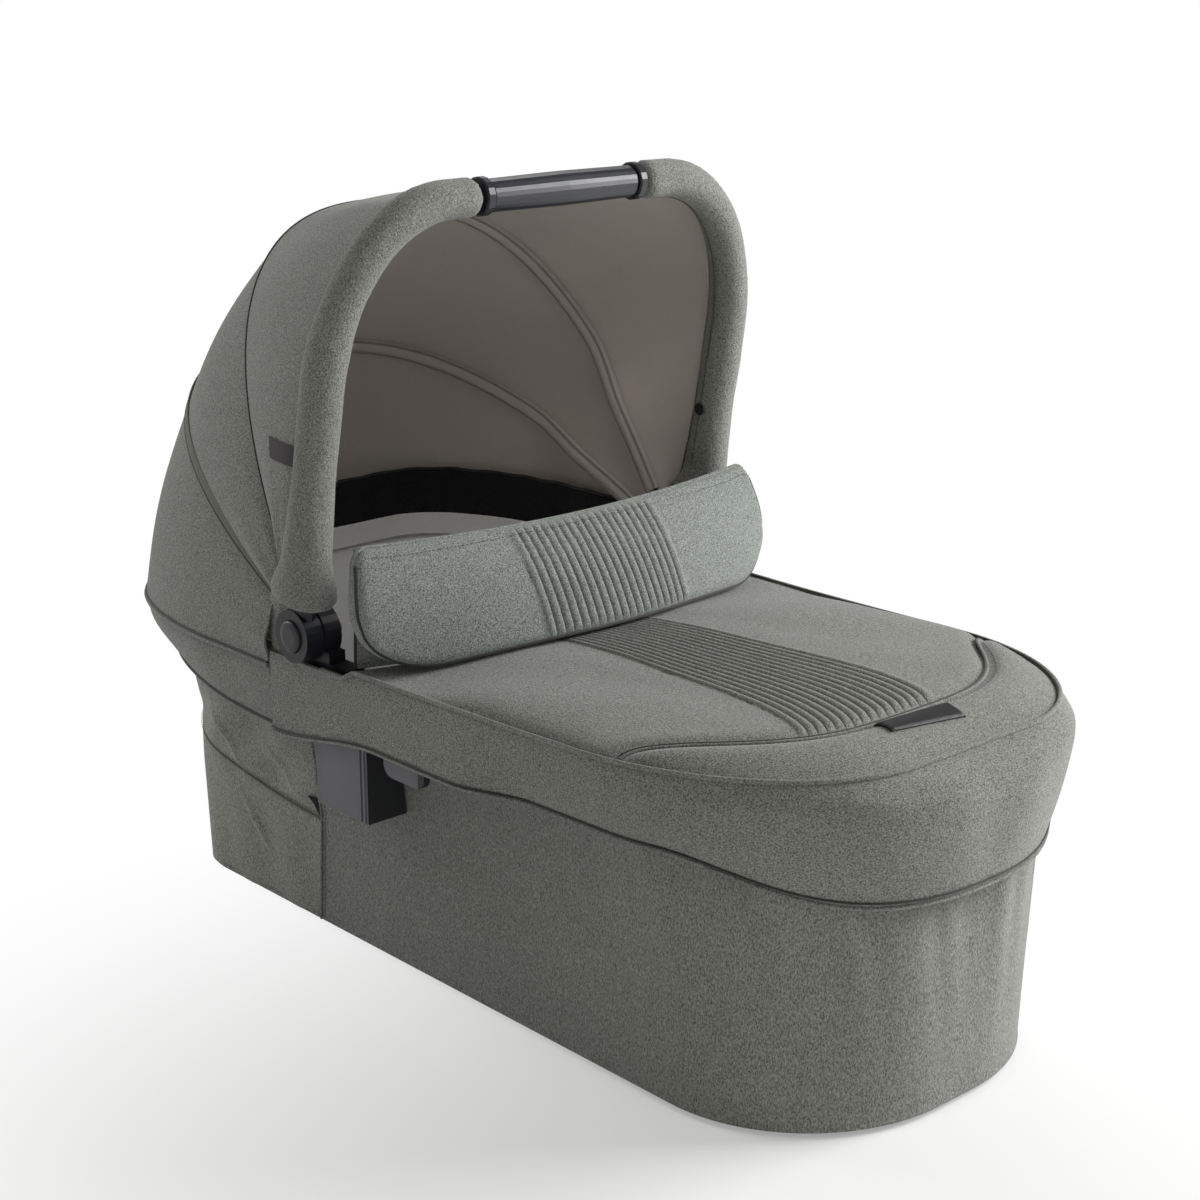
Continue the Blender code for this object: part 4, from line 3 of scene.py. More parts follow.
import bmesh
import bpy
import numpy as np
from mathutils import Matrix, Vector


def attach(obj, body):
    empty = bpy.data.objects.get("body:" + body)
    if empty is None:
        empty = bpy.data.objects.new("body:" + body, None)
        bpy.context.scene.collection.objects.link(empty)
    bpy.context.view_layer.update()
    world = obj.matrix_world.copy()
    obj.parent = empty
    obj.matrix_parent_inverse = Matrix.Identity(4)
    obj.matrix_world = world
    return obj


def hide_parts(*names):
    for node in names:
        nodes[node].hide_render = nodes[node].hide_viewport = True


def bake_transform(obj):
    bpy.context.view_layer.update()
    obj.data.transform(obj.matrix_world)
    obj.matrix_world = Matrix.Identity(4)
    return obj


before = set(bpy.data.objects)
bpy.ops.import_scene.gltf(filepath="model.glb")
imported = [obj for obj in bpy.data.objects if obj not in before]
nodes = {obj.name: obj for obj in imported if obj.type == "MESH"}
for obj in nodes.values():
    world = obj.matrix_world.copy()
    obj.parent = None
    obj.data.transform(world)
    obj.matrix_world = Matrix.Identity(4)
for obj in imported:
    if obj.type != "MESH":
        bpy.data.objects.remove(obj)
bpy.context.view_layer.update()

# %% [markdown]
# ## The view
# A product picture taken from the left of the foot end, a little above the apron. The camera stands on
# the line that the photograph's perspective gives, with a moderate telephoto lens, so the far side
# shrinks only a little.
# %% Camera
CAMERA_PLACE = (-1.1616, -1.2930, 0.8074)
CAMERA_TARGET = (0, -0.0159, 0.2888)
LENS_MM = 68.5986

camera_data = bpy.data.cameras.new("view")
camera_data.lens = LENS_MM
camera_data.sensor_width = 36
camera_data.clip_start = 0.05
camera = bpy.data.objects.new("view", camera_data)
bpy.context.scene.collection.objects.link(camera)
camera.location = CAMERA_PLACE
aim = Vector(CAMERA_TARGET) - camera.location
camera.rotation_euler = aim.to_track_quat("-Z", "Y").to_euler()
bpy.context.scene.camera = camera
bpy.context.scene.view_settings.view_transform = "Standard"
print("camera to the middle:", round(aim.length, 3), "m")

# %% [markdown]
# ## Light and floor
# A studio for white-ground pictures is a big pale room: even light from all round, and one large soft
# lamp high on the right that shapes the folds. The world and the floor look white to the camera, but the
# light they give is plain, so the colours stay as they are written.
# %% Lamps
# Each lamp: its place, the height on the middle axis that it looks at, its size in metres and its watts.
LAMPS = {
    "key": ((1.90, -1.25, 1.30), 0.25, 1.3, 74),
    "front": ((-0.45, -1.7, 2.2), 0.25, 0.9, 7),
    "back": ((-0.7, 2.0, 1.2), 0.30, 1.1, 15),
    "high": ((1.1, 1.2, 1.9), 0.25, 0.8, 6),
}
for name, (place, look_z, size, watts) in LAMPS.items():
    lamp_data = bpy.data.lights.new(name, "AREA")
    lamp_data.size = size
    lamp_data.energy = watts
    lamp = bpy.data.objects.new(name, lamp_data)
    bpy.context.scene.collection.objects.link(lamp)
    lamp.location = place
    lamp.rotation_euler = (Vector((0, 0, look_z)) - Vector(place)).to_track_quat("-Z", "Y").to_euler()
print("lamps:", len(LAMPS))


# %% [markdown]
# A ray that goes straight to the camera, or through something clear, sees white; all others see the plain
# room. The floor keeps a soft shadow close to the cot and fades to white further out.
# %% Room and floor
def node(tree, kind, inputs, **settings):
    """A new shader node: its settings first, then each input fed from a socket or set to a value."""
    made = tree.nodes.new("ShaderNode" + kind)
    for key, value in settings.items():
        setattr(made, key, value)
    for key, value in inputs.items():
        if isinstance(value, bpy.types.NodeSocket):
            tree.links.new(value, made.inputs[key])
        else:
            made.inputs[key].default_value = value
    return made


def two_faced(tree, seen, plain, shown, output):
    """The plain shader, but the shown one by the share that seen gives, ended in an output node."""
    pick = node(tree, "MixShader", {0: seen, 1: plain.outputs[0], 2: shown.outputs[0]})
    node(tree, output, {0: pick.outputs[0]})


WHITE = (1, 1, 1, 1)
ROOM_COLOUR = (1.0, 0.98, 0.92, 1)
ROOM_STRENGTH = 0.29
FLOOR_HALF = 6
FLOOR_GREY = 0.93
SHADE_MIDDLE = (-0.22, -0.42, 0.0)
SHADE_NEAR, SHADE_FAR = 0.05, 0.85
SHADE_WHITE = 0.30

world = bpy.data.worlds.new("room")
bpy.context.scene.world = world
world.use_nodes = True
tree = world.node_tree
tree.nodes.clear()
ray = node(tree, "LightPath", {})
rays = {0: ray.outputs["Is Camera Ray"], 1: ray.outputs["Is Transmission Ray"]}
seen = node(tree, "Math", rays, operation="ADD", use_clamp=True)
room = node(tree, "Background", {"Color": ROOM_COLOUR, "Strength": ROOM_STRENGTH})
white = node(tree, "Background", {"Color": WHITE, "Strength": 1.0})
two_faced(tree, seen.outputs[0], room, white, "OutputWorld")

floor_mesh = bpy.data.meshes.new("floor")
floor_corners = [(x * FLOOR_HALF, y * FLOOR_HALF, 0) for x, y in ((-1, -1), (1, -1), (1, 1), (-1, 1))]
floor_mesh.from_pydata(floor_corners, [], [(0, 1, 2, 3)])
floor = bpy.data.objects.new("floor", floor_mesh)
bpy.context.scene.collection.objects.link(floor)
floor_look = bpy.data.materials.new("floor_white")
floor_look.use_nodes = True
tree = floor_look.node_tree
tree.nodes.clear()
ray = node(tree, "LightPath", {})
place = node(tree, "TexCoord", {})
offset = node(tree, "VectorMath", {0: place.outputs["Object"], 1: SHADE_MIDDLE}, operation="SUBTRACT")
far = node(tree, "VectorMath", {0: offset.outputs["Vector"]}, operation="LENGTH")
fade = node(tree, "MapRange", {
    "Value": far.outputs["Value"], "From Min": SHADE_NEAR, "From Max": SHADE_FAR,
    "To Min": SHADE_WHITE, "To Max": 1.0,
}, interpolation_type="SMOOTHSTEP")
rays = {0: ray.outputs["Is Camera Ray"], 1: fade.outputs["Result"]}
seen = node(tree, "Math", rays, operation="MULTIPLY")
matt = node(tree, "BsdfDiffuse", {"Color": (FLOOR_GREY, FLOOR_GREY, FLOOR_GREY, 1)})
glow = node(tree, "Emission", {"Color": WHITE, "Strength": 1.0})
two_faced(tree, seen.outputs[0], matt, glow, "OutputMaterial")
floor_mesh.materials.append(floor_look)
print("room and floor are set")

# %% [markdown]
# ## Finishes
# The cover is a heather knit: threads of a dark and a light grey-green are twisted together, so close up
# it is a fine salt and pepper, and from far a soft grey. Fine noise picks the thread, a slow noise moves
# the tone a little from place to place, and a cell pattern lifts each stitch. All of it reads object
# coordinates, so no piece needs a map.
# %% Finish makers
def shader_of(name):
    """A new material and its tree and shader."""
    look = bpy.data.materials.new(name)
    look.use_nodes = True
    return look, look.node_tree, look.node_tree.nodes["Principled BSDF"]


def pattern(tree, kind, scale, stretch=(1, 1, 1), **words):
    """A texture on object coordinates, in features per metre; a stretch below 1 draws it out on that axis."""
    place = node(tree, "TexCoord", {})
    draw = node(tree, "Mapping", {"Vector": place.outputs["Object"], "Scale": stretch})
    return node(tree, kind, {"Vector": draw.outputs["Vector"], "Scale": scale, **words})


def ramp(tree, source, stops):
    """A colour ramp with (position, colour) stops, fed from a socket."""
    made = node(tree, "ValToRGB", {"Fac": source})
    made.color_ramp.elements[0].position, made.color_ramp.elements[0].color = stops[0]
    made.color_ramp.elements[1].position, made.color_ramp.elements[1].color = stops[-1]
    for position, colour in stops[1:-1]:
        made.color_ramp.elements.new(position).color = colour
    return made.outputs["Color"]


def bumped(tree, shader, source, height, strength):
    """A bump of a height in metres, chained onto the one that the shader already has."""
    made = node(tree, "Bump", {"Distance": height, "Strength": strength, "Height": source})
    normal = shader.inputs["Normal"]
    if normal.is_linked:
        tree.links.new(normal.links[0].from_socket, made.inputs["Normal"])
    tree.links.new(made.outputs["Normal"], normal)


def shade(colour, factor):
    """A colour made lighter or darker by a factor."""
    return (*[min(c * factor, 1.0) for c in colour], 1.0)


def grey(value):
    """A grey of a value, no lighter than white."""
    return (min(value, 1), min(value, 1), min(value, 1), 1)


def cloth_finish(name, colour, contrast=0.85, stitch=0.0012, lift=0.00020, rough=0.92, sheen=0.2, streak=1.0):
    """Heather cloth: fine noise between two thread colours, slow tone drift, and a lifted stitch grain."""
    look, tree, shader = shader_of(name)
    thread = pattern(tree, "TexNoise", 1 / stitch, (1, 1, streak), Detail=4.0, Roughness=0.8).outputs["Fac"]
    heather = ramp(tree, thread, [
        (0.36, shade(colour, 1 - contrast)), (0.50, shade(colour, 1.0)), (0.66, shade(colour, 1 + contrast)),
    ])
    drift = pattern(tree, "TexNoise", 9.0, Detail=3.0, Roughness=0.6).outputs["Fac"]
    tone = ramp(tree, drift, [(0.3, grey(0.93)), (0.7, WHITE)])
    words = {"Factor": 1.0, "A": heather, "B": tone}
    base = node(tree, "Mix", words, data_type="RGBA", blend_type="MULTIPLY")
    tree.links.new(base.outputs["Result"], shader.inputs["Base Color"])
    cells = pattern(tree, "TexVoronoi", 0.85 / stitch)
    bumped(tree, shader, cells.outputs["Distance"], lift, 0.7)
    bumped(tree, shader, thread, lift * 1.4, 0.6)
    shader.inputs["Roughness"].default_value = rough
    shader.inputs["Specular IOR Level"].default_value = 0.25
    shader.inputs["Sheen Weight"].default_value = sheen
    shader.inputs["Sheen Roughness"].default_value = 0.5
    look.diffuse_color = shade(colour, 1)
    return look


def plastic_finish(name, colour, rough=0.45, grain=0.0006, lift=0.00003):
    """Moulded plastic: a fine spark-eroded grain, with a roughness that drifts where hands touch it."""
    look, tree, shader = shader_of(name)
    drift = pattern(tree, "TexNoise", 22.0, Detail=4.0).outputs["Fac"]
    tone = ramp(tree, drift, [(0.35, shade(colour, 0.86)), (0.68, shade(colour, 1.12))])
    tree.links.new(tone, shader.inputs["Base Color"])
    polish = ramp(tree, drift, [(0.3, grey(rough * 0.85)), (0.7, grey(rough * 1.15))])
    tree.links.new(polish, shader.inputs["Roughness"])
    etched = pattern(tree, "TexNoise", 1 / grain, Detail=2.0)
    bumped(tree, shader, etched.outputs["Fac"], lift, 0.5)
    look.diffuse_color = shade(colour, 1)
    return look


def painted_shade_below(look, limit, colour):
    """Painted shade: a darker colour where the object's y is below a limit, on a side that faces the foot."""
    tree = look.node_tree
    base = tree.nodes["Principled BSDF"].inputs["Base Color"]
    place = node(tree, "TexCoord", {})
    apart = node(tree, "SeparateXYZ", {"Vector": place.outputs["Object"]})
    below = node(tree, "Math", {0: apart.outputs["Y"], 1: limit}, operation="LESS_THAN")
    words = {"Factor": below.outputs["Value"], "A": base.links[0].from_socket, "B": shade(colour, 1)}
    made = node(tree, "Mix", words, data_type="RGBA")
    tree.links.new(made.outputs["Result"], base)
    return look


def metal_finish(name, colour, rough=0.35, metallic=1.0):
    """Drawn or brushed metal: long fine scratches and a patchy polish."""
    look, tree, shader = shader_of(name)
    scratch = pattern(tree, "TexNoise", 60.0, (1, 30, 30), Detail=4.0).outputs["Fac"]
    tone = ramp(tree, scratch, [(0.3, shade(colour, 0.85)), (0.7, shade(colour, 1.1))])
    tree.links.new(tone, shader.inputs["Base Color"])
    polish = ramp(tree, scratch, [(0.3, grey(rough * 0.8)), (0.7, grey(rough * 1.25))])
    tree.links.new(polish, shader.inputs["Roughness"])
    shader.inputs["Metallic"].default_value = metallic
    bumped(tree, shader, scratch, 0.00002, 0.4)
    look.diffuse_color = shade(colour, 1)
    return look


# %% [markdown]
# The cot's own finishes. The knits differ a little in tone and stitch, as cloth does when it is stretched
# or padded; the rear wall's knit is a lighter copy of the heather, which is painted light. The lining is a
# smooth twill, and a darker copy of it is painted shade in the creases beside the bow channels. The
# plastics are navy-black, warm grey and black, with painted shade on the adapter's foot-facing faces.
# %% The finishes of this cot
HEATHER = (0.210, 0.216, 0.197)
# Painted light: the rear wall's knit is the same heather made 1.2 times lighter.
REAR_HEATHER_PAINTED_LIGHT = shade(HEATHER, 1.2)[:3]
SLEEVE_HEATHER = (0.214, 0.221, 0.200)
FLAP_HEATHER = (0.220, 0.240, 0.222)
LINING = (0.520, 0.482, 0.444)
HOOD_LINING = shade(LINING, 1.12)[:3]
# Painted shade: a darker copy of the lining, for the creases beside the bow channels.
CHANNEL_CREASE_SHADE = shade(LINING, 0.62)[:3]
WARM_GREY = (0.138, 0.136, 0.160)
# Painted shade: the dark colour of the adapter box's foot-facing side and the lever's foot end, below these y
# limits.
PAINTED_SHADE_DARK = (0.016, 0.017, 0.022)
BOX_SHADED_SIDE_Y = 0.0196
LEVER_SHADED_END_Y = -0.0385

knit = cloth_finish("heather_knit", HEATHER)
wall_knit = cloth_finish("heather_wall", HEATHER, contrast=0.75, stitch=0.0010, streak=0.45)
rear_lit_knit = cloth_finish("heather_rear_wall_painted_light", REAR_HEATHER_PAINTED_LIGHT, contrast=0.75, stitch=0.0010, streak=0.45)
flap_knit = cloth_finish("heather_flap", FLAP_HEATHER, stitch=0.0011)
sleeve_knit = cloth_finish("heather_sleeve", SLEEVE_HEATHER, contrast=0.75, stitch=0.0012, lift=0.0004)
lining = cloth_finish("hood_lining_twill", HOOD_LINING, contrast=0.10, stitch=0.0008, lift=0.00008, rough=0.8)
channel_crease_shade = cloth_finish("channel_twill_painted_shade", CHANNEL_CREASE_SHADE, contrast=0.10, stitch=0.0008, lift=0.00008)
liner_knit = cloth_finish("liner_jersey", (0.88, 0.88, 0.88), contrast=0.10, stitch=0.0009, lift=0.00012)
mattress_knit = cloth_finish("mattress_jersey", (0.55, 0.55, 0.54), contrast=0.06, stitch=0.0012, lift=0.0002)
vent_mesh = cloth_finish(
    "vent_mesh", (0.014, 0.014, 0.016), contrast=0.6, stitch=0.0018, lift=0.0005, sheen=0.05
)
piping_cloth = cloth_finish("piping_satin", (0.030, 0.032, 0.026), contrast=0.2, stitch=0.0007, rough=0.6)
tape_cloth = cloth_finish("tape_olive", (0.105, 0.110, 0.088), contrast=0.12, stitch=0.0007, rough=0.8)
thread_look = cloth_finish("sewing_thread", (0.085, 0.090, 0.074), contrast=0.1, stitch=0.0005, rough=0.6)
plum_tape = cloth_finish("plum_tape", (0.040, 0.033, 0.040), contrast=0.1, stitch=0.0006)
navy_plastic = plastic_finish("navy_black_plastic", (0.012, 0.013, 0.019), rough=0.42)
grip_skin = plastic_finish("grip_leatherette", (0.014, 0.015, 0.023), rough=0.34, grain=0.0011, lift=0.00009)
# The adapter box and the lever get painted shade on their foot-facing faces.
box_plastic = painted_shade_below(plastic_finish("adapter_plastic", WARM_GREY, rough=0.48), BOX_SHADED_SIDE_Y, PAINTED_SHADE_DARK)
lever_plastic = painted_shade_below(plastic_finish("lever_plastic", WARM_GREY, rough=0.48), LEVER_SHADED_END_Y, PAINTED_SHADE_DARK)
ring_plastic = plastic_finish("ring_grey_plastic", (0.030, 0.029, 0.037), rough=0.4)
tray_plastic = plastic_finish("tray_black_plastic", (0.022, 0.022, 0.023), rough=0.6, grain=0.0009)
rubber = plastic_finish("foot_rubber", (0.016, 0.016, 0.016), rough=0.85)
aluminium = metal_finish("tube_aluminium", (0.55, 0.56, 0.57))
steel = metal_finish("spring_steel", (0.42, 0.42, 0.43), rough=0.3)
plate_metal = metal_finish("plate_dark", (0.012, 0.013, 0.016), rough=0.5, metallic=0.2)
snap_look = metal_finish("snap_black", (0.03, 0.03, 0.032), rough=0.3, metallic=0.6)
print("finishes:", len(bpy.data.materials))

# %% [markdown]
# ## Dress the rigid parts
# Hinges, levers, tubes and the tray keep their modelled shape. Each gets the finish of its real material,
# set on its own slot.
# %% Rigid parts
SHARP_NODE = math.radians(32)
CARRIED = {
    "hinge_housing": navy_plastic, "handle_leg": navy_plastic, "grip_collar": navy_plastic,
    "grip": grip_skin, "adapter_housing": box_plastic, "adapter_lever": lever_plastic,
    "hinge_button": ring_plastic, "base_tray": tray_plastic, "foot_pad": rubber, "rim_tube": aluminium,
    "handle_tube": aluminium, "brace": steel, "pivot_pin": steel, "lever_spring": steel,
    "hinge_spring": steel, "hood_bow": navy_plastic, "snap": snap_look, "label_plate": plate_metal,
}
for start, look in CARRIED.items():
    for node_name, part in nodes.items():
        if node_name.startswith(start):
            part.data.materials.clear()
            part.data.materials.append(look)
for part in nodes.values():
    part.data.shade_smooth()
    part.data.set_sharp_from_angle(angle=SHARP_NODE)
print("dressed:", sum(n.startswith(tuple(CARRIED)) for n in nodes))

# %% [markdown]
# ## Outlines seen from above
# The tub, its rim, the apron's skirt and the band round the head all follow the same kind of outline:
# straight sides that taper to the foot, and an elliptical corner at each end. One small class gives any
# of them, and points on a run round the foot or round the head as whole arrays.
# %% Outline
TAPER_Y = 0.039


def smooth(value):
    """Ease from 0 to 1: 3v2 - 2v3, held outside."""
    value = np.clip(value, 0, 1)
    return value * value * (3 - 2 * value)


def both_sides(left, curve, flat):
    """A run from the -X side, round a corner, along the flat end and back down the +X side."""
    return np.concatenate([left, curve, flat, curve[::-1] * (-1, 1), left[::-1] * (-1, 1)])


class Plan:
    """half, foot half, foot reach, head reach, foot corner across and along, head corner across and along."""

    def __init__(self, *values):
        self.all = np.array(values, float)

    def grown(self, amount):
        return Plan(*(self.all + amount))

    def mixed(self, other, share):
        return Plan(*(self.all * (1 - share) + other.all * share))

    def side(self, y):
        """Half width of the straight side at y: the taper starts at TAPER_Y and ends at the foot corner."""
        half, foot_half, foot, _, _, foot_along, _, _ = self.all
        return half + (foot_half - half) * np.clip((TAPER_Y - y) / (TAPER_Y - (foot_along - foot)), 0, 1)

    def half_width(self, y):
        """Half width at y, on the side or in the foot corner's ellipse."""
        _, foot_half, foot, _, across, along, _, _ = self.all
        past = np.clip((along - foot - y) / along, 0, 1)
        corner = foot_half - across + across * np.sqrt(1 - past * past)
        return np.where(past > 0, corner, self.side(y))

    def foot_run(self, start, side=56, corner=44, end=16):
        """Points from the -X side at y = start round the foot end to the +X side."""
        _, foot_half, foot, _, across, along, _, _ = self.all
        ys = np.linspace(start, along - foot, side + 1)[:-1]
        turn = np.linspace(0, math.pi / 2, corner + 1)
        curve_x = -(foot_half - across) - across * np.cos(turn)
        curve = np.stack([curve_x, along - foot - along * np.sin(turn)], 1)
        flat = np.linspace(-(foot_half - across), foot_half - across, end + 1)[1:-1]
        flat = np.stack([flat, np.full(end - 1, -foot)], 1)
        return both_sides(np.stack([-self.side(ys), ys], 1), curve, flat)

    def head_run(self, start, side=30, corner=44, end=12):
        """Points from the -X side at y = start round the head end to the +X side."""
        half, _, _, head, _, _, across, along = self.all
        ys = np.linspace(start, head - along, side + 1)[:-1]
        turn = np.linspace(0, math.pi / 2, corner + 1)
        curve = np.stack([-(half - across) - across * np.cos(turn), head - along + along * np.sin(turn)], 1)
        flat = np.linspace(-(half - across), half - across, end + 1)[1:-1]
        flat = np.stack([flat, np.full(end - 1, head)], 1)
        return both_sides(np.stack([np.full(side, -half), ys], 1), curve, flat)

    def loop(self):
        """The whole outline, once round, from the hinge."""
        return np.concatenate([self.foot_run(HINGE[1]), self.head_run(HINGE[1])[::-1][1:-1]])


HINGE = np.array([0, 0.092, 0.280])
BASE = Plan(0.156, 0.156, 0.391, 0.369, 0.13603, 0.129, 0.069, 0.069)
RIM = Plan(0.195, 0.187, 0.396, 0.394, 0.14997, 0.185, 0.100, 0.180)
RIM_Z = 0.248
WALL_TOP = RIM.grown(0.0049)
WALL_TOP_Z = 0.2395
WALL_FLOOR_Z = 0.005
EVEN_FLARE = np.array([0.45, 0.45, 0.80, 0.0, 0.45, 0.45, 0.30, 0.30])


def wall_plan(z):
    """The tub wall's outline at a height: part of the flare is even, the rest comes near the rim."""
    level = min(max((z - WALL_FLOOR_Z) / (WALL_TOP_Z - WALL_FLOOR_Z), 0.0), 1.0)
    return BASE.mixed(WALL_TOP, EVEN_FLARE * level + (1 - EVEN_FLARE) * level ** 8)


def at_height(run, z):
    """A flat run of points lifted to a height, or to a height for each point."""
    return np.column_stack([run, np.broadcast_to(z, len(run))])


print("rim length:", round(float(np.linalg.norm(np.diff(RIM.loop(), axis=0), axis=1).sum()), 3), "m")

# %% [markdown]
# ## Sheets, ropes and stitches
# Nearly every sewn piece is one of three things: a sheet with a thickness, a rope or tape laid along a
# line, or a row of stitches. Each is made once here from whole arrays of points.
# %% Sheet maker
SHARP_CLOTH = math.radians(55)


def unit(vectors, axis):
    """Vectors made one metre long."""
    return vectors / np.maximum(np.linalg.norm(vectors, axis=axis, keepdims=True), 1e-12)


def outward(grid, inside, wrap=False):
    """Unit normals of a grid, on the side away from a place inside the piece."""
    along = (np.roll(grid, -1, 1) - np.roll(grid, 1, 1)) if wrap else np.gradient(grid, axis=1)
    normal = unit(np.cross(along, np.gradient(grid, axis=0)), 2)
    sign = 1 if ((grid - np.array(inside)) * normal).sum(2).mean() > 0 else -1
    return normal * sign


def lengths(points):
    """Distance along a line of points from its start."""
    return np.concatenate([[0], np.cumsum(np.linalg.norm(np.diff(points, axis=0), axis=1))])


def make_mesh(name, points, faces, look, maps=None):
    """A smooth-shaded object whose faces look outwards: a mesh that encloses less than nothing is turned."""
    mesh = bpy.data.meshes.new(name)
    mesh.from_pydata(np.asarray(points, float).tolist(), [], faces)
    mesh.validate()
    solid = bmesh.new()
    solid.from_mesh(mesh)
    if solid.calc_volume(signed=True) < 0:
        bmesh.ops.reverse_faces(solid, faces=solid.faces)
        solid.to_mesh(mesh)
    solid.free()
    if maps is not None:
        layer = mesh.uv_layers.new(name="cloth")
        corners = np.zeros(len(mesh.loops), np.int32)
        mesh.loops.foreach_get("vertex_index", corners)
        layer.data.foreach_set("uv", np.asarray(maps, np.float32)[corners].ravel())
    mesh.shade_smooth()
    mesh.set_sharp_from_angle(angle=SHARP_CLOTH)
    mesh.materials.append(look)
    made = bpy.data.objects.new(name, mesh)
    bpy.context.scene.collection.objects.link(made)
    return made


def grid_faces(rows, columns, wrap=False, closed=False):
    """Point numbers of a grid, joined round where it wraps, and the four corners of each of its faces."""
    index = np.arange(rows * columns).reshape(rows, columns)
    if wrap:
        index = np.concatenate([index, index[:, :1]], 1)
    if closed:
        index = np.concatenate([index, index[:1]], 0)
    return index, (index[:-1, :-1], index[:-1, 1:], index[1:, 1:], index[1:, :-1])


def sheet(name, grid, thick, inside, look, wrap=False, normal=None):
    """Cloth of a thickness: the grid is its outer face, and the inner face lies a thickness inwards."""
    grid = np.asarray(grid, float)
    rows, columns = grid.shape[:2]
    if normal is None:
        normal = outward(grid, inside, wrap)
    thick = np.broadcast_to(np.asarray(thick, float), (rows, columns))[..., None]
    points = np.concatenate([grid.reshape(-1, 3), (grid - normal * thick).reshape(-1, 3)])
    _, (a, b, c, d) = grid_faces(rows, columns, wrap)
    face = np.stack([a, b, c, d], -1).reshape(-1, 4)
    count = rows * columns
    faces = [face, face[:, ::-1] + count]
    edges = [(a[0], b[0]), (c[-1], d[-1])] + ([] if wrap else [(b[:, -1], c[:, -1]), (d[:, 0], a[:, 0])])
    for start, end in edges:
        faces.append(np.stack([end, start, start + count, end + count], -1))
    maps = np.meshgrid(lengths(grid[rows // 2]), lengths(grid[:, columns // 2]))
    maps = np.stack(maps, -1).reshape(-1, 2)
    return make_mesh(name, points, np.concatenate(faces).tolist(), look, np.concatenate([maps, maps]))


def tube(name, rings, look, closed=False, maps=None):
    """A solid from rings of points, joined into a loop or with its two ends capped."""
    count, sides = rings.shape[:2]
    index, corners = grid_faces(count, sides, True, closed)
    faces = np.stack(corners, -1).reshape(-1, 4).tolist()
    if not closed:
        faces += [index[0, :-1][::-1].tolist(), index[-1, :-1].tolist()]
    return make_mesh(name, rings.reshape(-1, 3), faces, look, maps)


def spline_rows(rows, count):
    """Rows of points between a few given rows, on Catmull-Rom curves."""
    rows = np.asarray(rows, float)
    ends = np.concatenate([2 * rows[:1] - rows[1:2], rows, 2 * rows[-1:] - rows[-2:-1]])
    place = np.linspace(0, len(rows) - 1, count)
    k = np.minimum(place.astype(int), len(rows) - 2)
    t = (place - k)[:, None, None]
    p0, p1, p2, p3 = ends[k], ends[k + 1], ends[k + 2], ends[k + 3]
    return 0.5 * (2 * p1 + (p2 - p0) * t + (2 * p0 - 5 * p1 + 4 * p2 - p3) * t ** 2
                  + (3 * p1 - p0 - 3 * p2 + p3) * t ** 3)


# %% [markdown]
# A cord, a tape and a padded sleeve are all an oval carried along a line, and each stitch is a small
# spindle of its own, laid along the seam at an even pitch.
# %% Rope and stitch makers
ROPE_MAP = 0.003
STITCH_PITCH = 0.0036
STITCH_LONG = 0.0023
STITCH_THICK = 0.00032


def even(points, count):
    """A line resampled at even distances."""
    place = lengths(points)
    return np.stack([np.interp(np.linspace(0, place[-1], count), place, points[:, k]) for k in range(3)], 1)


def frame_along(points, up, closed=False):
    """Tangent, lift and across directions at each point of a line; up is the side that the lift turns to."""
    step = (np.roll(points, -1, 0) - np.roll(points, 1, 0)) if closed else np.gradient(points, axis=0)
    tangent = unit(step, 1)
    up = np.broadcast_to(np.asarray(up, float), points.shape)
    lift = unit(up - tangent * (up * tangent).sum(1, keepdims=True), 1)
    return tangent, lift, np.cross(tangent, lift)


def squared(wave, power):
    """A sine or cosine raised to a power with its sign kept."""
    return np.sign(wave) * np.abs(wave) ** power


def rope(name, points, radius, look, up=(0, 0, 1), sides=12, closed=False, flat=2.0):
    """A tube or tape: an oval, half width and half height, carried along a line; flat above 2 squares it."""
    points = np.asarray(points, float)
    _, lift, across = frame_along(points, up, closed)
    half = np.broadcast_to(np.asarray(radius, float), (len(points), 2))
    turn = np.linspace(0, 2 * math.pi, sides, endpoint=False)
    wide = squared(np.cos(turn), 2 / flat)
    high = squared(np.sin(turn), 2 / flat)
    rings = (points[:, None] + half[:, :1, None] * wide[None, :, None] * across[:, None]
             + half[:, 1:, None] * high[None, :, None] * lift[:, None])
    maps = np.stack([np.repeat(lengths(points), sides), np.tile(turn * ROPE_MAP, len(points))], 1)
    return tube(name, rings, look, closed, maps)


